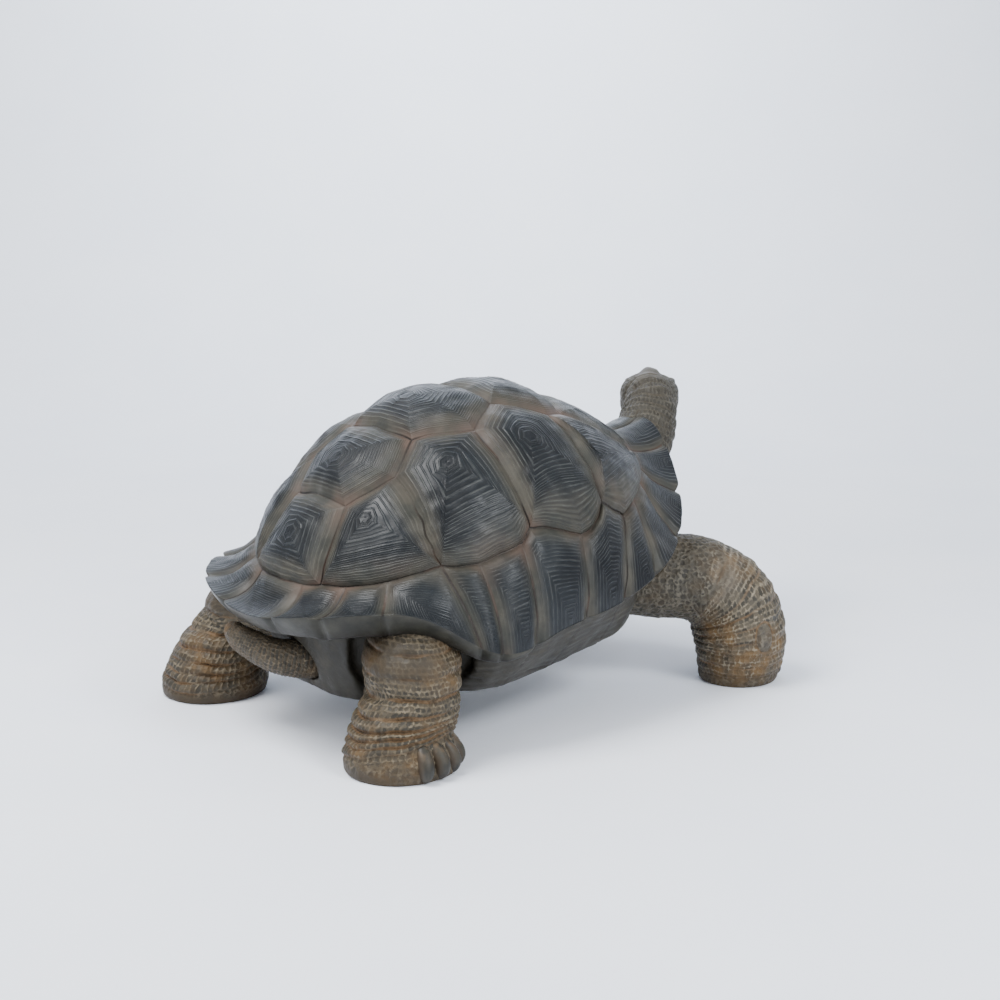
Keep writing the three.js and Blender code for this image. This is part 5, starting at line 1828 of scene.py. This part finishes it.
def shell_paint():
    p = Paint("shell_paint", SHELL_TONE)
    patch = p.noise(0.05, 2)
    gap, inner, under, bold = (p.value(key) for key in ("gap", "inner", "under", "bold"))
    ridge, groove, lines_here = line_masks(p)
    wash = wash_mask(p)

    ground = p.mix(p.ramp(p.noise(0.16, 1), 0.35, 0.7), BLUE_BLACK, SLATE)
    taupe = p.mix(p.ramp(patch, 0.35, 0.65), TAUPE, PALE_TAUPE)
    taupe = p.mix(p.times(p.ramp(p.noise(0.10, 6), 0.52, 0.70), 0.55), taupe, WARM_TAUPE)
    base = p.mix(wash, ground, taupe)
    breath = p.ramp(p.noise(0.09, 7, 3.0), 0.38, 0.60, 0.15, 0.8)
    base = p.mix(p.times(p.value("meet"), p.ramp(gap, 26.0, 3.0), breath), base, TERRACOTTA)

    core = p.ramp(inner, 0.35, 0.80)
    brushed = p.times(p.ramp(p.noise(0.030, 4), 0.34, 0.66, 0.10, 0.85), p.ramp(core, 0.0, 1.0, 1.0, 0.42))
    brushed = p.times(ridge, p.times(brushed, bold), lines_here, p.ramp(wash, 0.0, 1.0, 0.85, 0.45))
    base = p.mix(brushed, base, p.mix(wash, LINE_ON_CORE, LINE_ON_WASH))
    carved = p.times(groove, p.ramp(p.noise(0.03, 5), 0.3, 0.6, 0.2, 0.85), lines_here, bold)
    base = p.mix(p.times(carved, p.ramp(wash, 0.0, 1.0, 0.75, 0.60)), base, GROOVE_BLACK)
    old = p.times(p.ramp(inner, 1 - LAST_LINE, 1.02 - LAST_LINE, 0.0, 0.8), p.ramp(bold, 0.8, 0.9))
    base = p.mix(old, base, OLD_PLATE)
    crack = p.times(p.ramp(gap, 3.6, 1.1), p.ramp(p.value("cracked"), 0.15, 0.65, 0.20, 1.0))
    base = p.mix(crack, base, p.mix(p.ramp(p.noise(0.07, 14), 0.48, 0.62), CRACK_BLACK, CRACK_RUST))

    base = p.mix(p.ramp(under, 0.05, 0.30), base, p.mix(p.ramp(patch, 0.3, 0.7), LIP_DARK, LIP_PALE))
    # Painted shade: the lip darkens towards the inside of the rim, and the hollow below it is painted dark
    # brown.
    base = p.mix(p.ramp(under, 0.55, 1.0), base, UNDER_LIP_SHADE)
    base = p.mix(p.ramp(under, 1.0, 1.5), base, HOLLOW_SHADE)
    rough = p.plus(p.ramp(p.noise(0.025, 8), 0.3, 0.7, 0.28, 0.42), p.times(wash, 0.14))
    raised = p.times(ridge, lines_here, p.ramp(under, 0.1, 0.0), p.ramp(wash, 0.0, 1.0, 0.9, 0.5), bold)
    relief = p.plus(p.times(p.noise(0.008, 3, 6.0), 0.4), raised)
    return p.finish(base, rough, relief, 0.0009, shine=0.22)


give(shell_paint(), [carapace])

# %% [markdown]
# The lower shell is plainer: brown-black with worn, paler patches, and duller than the top.

# %% Paint of the lower shell
WALL_DARK, WALL_BROWN = (0.020, 0.018, 0.013), (0.038, 0.034, 0.025)
WORN, WORN_RIDGE = (0.070, 0.061, 0.044), (0.090, 0.082, 0.063)
WALL_CRACK = (0.022, 0.018, 0.014)


def plastron_paint():
    p = Paint("lower_shell_paint", SHELL_TONE)
    cloud, patch = p.noise(0.12, 11), p.noise(0.03, 12)
    base = p.mix(p.ramp(cloud, 0.3, 0.7), WALL_DARK, WALL_BROWN)
    base = p.mix(p.times(p.ramp(patch, 0.5, 0.75), 0.6), base, WORN)
    base = p.mix(p.ramp(p.value("ridge"), 0.2, 0.9, 0.0, 0.5), base, WORN_RIDGE)
    seam = p.times(p.ramp(p.value("gap"), 3.4, 0.8), p.ramp(cloud, 0.35, 0.55, 0.4, 0.9))
    base = p.mix(seam, base, WALL_CRACK)
    return p.finish(base, p.ramp(patch, 0.3, 0.7, 0.45, 0.62), p.noise(0.008, 13, 6.0), 0.0008, shine=0.3)


give(plastron_paint(), [plastron])

# %% [markdown]
# The skin has olive-brown scales, a pale net between them and an orange-brown wash in the folds, with
# painted shade in the deepest folds and near the floor.
# Neck and head are greyer than the legs, so most colours come in a brown and a grey kind, and
# the greyness stored on the mesh picks between the two.

# %% Paint of the skin
SKIN_TONE = 0.94
SCALE_DARK, SCALE_BROWN = (0.030, 0.026, 0.018), (0.080, 0.064, 0.041)
RIM_DARK, RIM_BROWN = (0.078, 0.063, 0.041), (0.112, 0.087, 0.053)
ASH_DARK, ASH, ASH_RIM = (0.032, 0.031, 0.025), (0.080, 0.075, 0.059), (0.106, 0.099, 0.081)
BARE, BARE_PALE = (0.046, 0.031, 0.016), (0.086, 0.054, 0.024)
BARE_ASH, BARE_ASH_PALE = (0.105, 0.098, 0.082), (0.160, 0.146, 0.122)
OCHRE, OCHRE_PALE = (0.086, 0.052, 0.021), (0.160, 0.092, 0.034)
NET_BROWN, NET_ASH = (0.245, 0.200, 0.132), (0.235, 0.220, 0.178)
FOLD_BROWN, FOLD_ORANGE, FOLD_ASH = (0.080, 0.046, 0.022), (0.220, 0.116, 0.044), (0.070, 0.056, 0.036)
# The black of the deepest folds and the colour near the floor are painted shade.
FOLD_SHADE, DIM, FLOOR_SHADE = (0.022, 0.016, 0.010), (0.024, 0.021, 0.015), (0.044, 0.031, 0.017)


def scale_colour(p, inside):
    """Each scale is darker inside than at its rim, and no two are quite alike."""
    cell, dark_cell = p.value("cell"), p.ramp(p.value("cell"), 0.3, 1.0)
    deep = p.ramp(inside, 0.7, 2.3)
    brown = p.mix(deep, p.mix(cell, RIM_DARK, RIM_BROWN), p.mix(dark_cell, SCALE_DARK, SCALE_BROWN))
    ashen = p.mix(deep, ASH_RIM, p.mix(dark_cell, ASH_DARK, ASH))
    return p.mix(p.value("grey"), brown, ashen)


def skin_paint():
    p = Paint("skin_paint", SKIN_TONE)
    cloud, patch = p.noise(0.10, 21), p.noise(0.030, 22)
    blotch = p.ramp(patch, 0.35, 0.65)
    dip, grey, sleek = p.value("dip"), p.value("grey"), p.value("sleek")
    inside = p.plus(p.value("edge"), p.ramp(p.noise(0.006, 26, 2.0), 0.3, 0.7, -0.9, 0.9))
    base = scale_colour(p, inside)
    bare = p.mix(grey, p.mix(blotch, BARE, BARE_PALE), p.mix(blotch, BARE_ASH, BARE_ASH_PALE))
    base = p.mix(p.times(sleek, 0.9), base, bare)
    ochre = p.times(p.ramp(cloud, 0.44, 0.64), p.ramp(patch, 0.30, 0.62, 0.30, 0.90))
    ochre = p.times(ochre, p.ramp(grey, 0.0, 0.9, 1.0, 0.12))
    base = p.mix(ochre, base, p.mix(blotch, OCHRE, OCHRE_PALE))
    scaly = p.minus(1.0, p.times(sleek, 0.9))
    net = p.times(p.ramp(inside, 1.2, 0.3), p.ramp(p.noise(0.018, 24), 0.38, 0.64, 0.0, 0.85), scaly)
    base = p.mix(net, base, p.mix(grey, NET_BROWN, NET_ASH))

    fold = p.mix(p.ramp(p.noise(0.05, 25), 0.38, 0.56), FOLD_BROWN, FOLD_ORANGE)
    in_fold = p.times(p.ramp(dip, 0.5, 2.6), p.ramp(grey, 0.0, 1.0, 0.62, 0.5))
    base = p.mix(in_fold, base, p.mix(grey, fold, FOLD_ASH))
    # Painted shade deep in the folds.
    base = p.mix(p.ramp(dip, 3.4, 6.5, 0.0, 0.75), base, FOLD_SHADE)
    base = p.mix(p.value("dim"), base, DIM)
    # Painted shade on the skin within 45 mm of the floor.
    low = p.times(p.ramp(p.value("height"), 0.0, 45.0, 0.75, 0.0), p.ramp(cloud, 0.3, 0.6, 0.4, 1.0))
    base = p.mix(low, base, FLOOR_SHADE)
    relief = p.times(p.ramp(inside, 2.0, 0.2, 0.0, 0.8), scaly)
    relief = p.plus(p.times(p.noise(0.005, 23, 6.0), 0.7), relief)
    return p.finish(base, p.ramp(patch, 0.3, 0.7, 0.46, 0.64), relief, 0.0010, shine=0.26)


give(skin_paint(), [skin])

# %% [markdown]
# The claws are brown-black horn, paler at the root and browner at the flanks. The eyes get a
# glossy coat, with a black pupil and a dark brown iris.

# %% Paint of the claws and the eyes
HORN_BLACK, HORN_BROWN = (0.014, 0.013, 0.009), (0.038, 0.033, 0.023)
HORN_ROOT, HORN_FLANK = (0.090, 0.060, 0.032), (0.042, 0.028, 0.015)
PUPIL, EYE_RIM = (0.003, 0.003, 0.003), (0.012, 0.009, 0.007)
IRIS_DARK, IRIS_BROWN = (0.018, 0.009, 0.004), (0.040, 0.021, 0.009)


def claw_paint():
    p = Paint("claw_paint", SKIN_TONE)
    cloud = p.noise(0.03, 31)
    base = p.mix(p.ramp(cloud, 0.35, 0.65), HORN_BLACK, HORN_BROWN)
    base = p.mix(p.times(p.value("root"), p.ramp(p.noise(0.02, 33), 0.38, 0.58)), base, HORN_ROOT)
    base = p.mix(p.ramp(p.value("side"), 0.45, 0.90, 0.0, 0.8), base, HORN_FLANK)
    return p.finish(base, p.ramp(cloud, 0.3, 0.7, 0.42, 0.6), p.noise(0.005, 32, 6.0), 0.0005, shine=0.35)


def eye_paint():
    p = Paint("eye_paint")
    iris = p.value("iris")
    base = p.mix(p.ramp(iris, 0.30, 0.34), PUPIL, p.mix(p.noise(0.004, 41), IRIS_DARK, IRIS_BROWN))
    return p.finish(p.mix(p.ramp(iris, 0.62, 0.72), base, EYE_RIM), 0.08)


give(claw_paint(), claws)
give(eye_paint(), eyes)

# %% [markdown]
# ## What each piece stands for
# Every piece rides on the one body of the statue, since nothing on it moves. The solid nodes
# that a piece stands for are hidden. A slot name is listed with each piece but not used.

# %% Ride and replace
SKIN_NODES = (
    "torso", "leg_front_left", "leg_front_right", "leg_hind_left", "leg_hind_right", "tail", "neck", "head",
)
for piece, slot, nodes in (
    (carapace, "shell", ("carapace",)),
    (plastron, "plastron", ("plastron",)),
    (skin, "skin", SKIN_NODES),
    (eyes[0], "eye", ("eye_right",)),
    (eyes[1], "eye", ("eye_left",)),
):
    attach(piece, "root")
    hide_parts(*nodes)
for claw in claws:
    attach(claw, "root")
print("pieces on the body:", 5 + len(claws))

# %% [markdown]
# ## Stage and light
# The statue stands on a pale paper sweep: a floor that curves up behind it with no horizon. It
# is a stage piece and no part of the statue.

# %% Paper sweep
SWEEP_WIDE = 14.0
SWEEP_FRONT, SWEEP_BACK = -9.0, 2.4     # metres from the statue, towards the camera and away
SWEEP_ROUND = 2.2
SWEEP_TALL = 7.0
PAPER, PAPER_PALE = (0.862, 0.905, 0.985), (0.892, 0.930, 0.998)


def paper_sweep():
    angles = np.linspace(0, math.pi / 2, 40)
    profile = [(SWEEP_FRONT, 0.0)]
    profile += [(SWEEP_BACK + SWEEP_ROUND * math.sin(a), SWEEP_ROUND * (1 - math.cos(a))) for a in angles]
    profile += [(SWEEP_BACK + SWEEP_ROUND, SWEEP_TALL)]
    away = -np.array(CAMERA_AT[:2]) / np.linalg.norm(CAMERA_AT[:2])
    side = np.array([away[1], -away[0]])
    points = [
        (*(away * along + side * across), up)
        for along, up in profile
        for across in (-SWEEP_WIDE / 2, SWEEP_WIDE / 2)
    ]
    return make_mesh("paper_sweep", np.array(points) / MM, [grid_faces(len(profile), 2)])


sweep = paper_sweep()
paper = Paint("paper")
fibre = paper.ramp(paper.noise(0.4, 51, 5.0), 0.3, 0.7)
give(paper.finish(paper.mix(fibre, PAPER, PAPER_PALE), 0.75, shine=0.2), [sweep])
print("paper sweep is", SWEEP_WIDE, "m wide")

# %% [markdown]
# The light is soft and comes mostly from high up on the animal's rear left, with a wide fill
# from behind it and a pale world all round. A smaller, cooler light on the right is mirrored in
# the satin coat of the plates. Weak ones on the far side, ahead of the animal and beside the
# camera open the shadows, and one shines on the paper behind the statue.

# %% Lights
WORLD_COLOUR, WORLD_STRENGTH = (0.96, 0.965, 1.0, 1.0), 0.74


def soft_light(name, place, size, watts, target=(0, 0, 0.3), colour=(1, 1, 1)):
    data = bpy.data.lights.new(name, "AREA")
    data.size = size
    data.energy = watts
    data.color = colour
    light = bpy.data.objects.new(name, data)
    bpy.context.collection.objects.link(light)
    light.location = in_frame(place)
    point_at(light, in_frame(target))


soft_light("high_left", (0.45, 1.4, 3.25), 1.7, 158)
soft_light("far_side", (2.4, 0.4, 3.4), 2.6, 14)
soft_light("low_left", (-0.2, 3.4, 2.6), 2.0, 54)
soft_light("right_sheen", (-2.5, -0.45, 2.35), 1.0, 66, colour=(0.93, 0.965, 1.0))
soft_light("far_right", (-1.0, -3.9, 2.4), 1.6, 18)
soft_light("camera_fill", (-3.4, 0.3, 0.9), 1.2, 28)
soft_light("backdrop", (2.2, -1.7, 3.6), 2.0, 186, (4.6, -3.6, 2.2), (0.90, 0.95, 1.0))

world = bpy.data.worlds.new("studio")
world.use_nodes = True
world.node_tree.nodes["Background"].inputs["Color"].default_value = WORLD_COLOUR
world.node_tree.nodes["Background"].inputs["Strength"].default_value = WORLD_STRENGTH
bpy.context.scene.world = world

# %% [markdown]
# Last, the size of the solid model is printed.

# %% Size of the solid model
print("solid model:", [round(v, 4) for v in (*cad_low, *cad_high)])
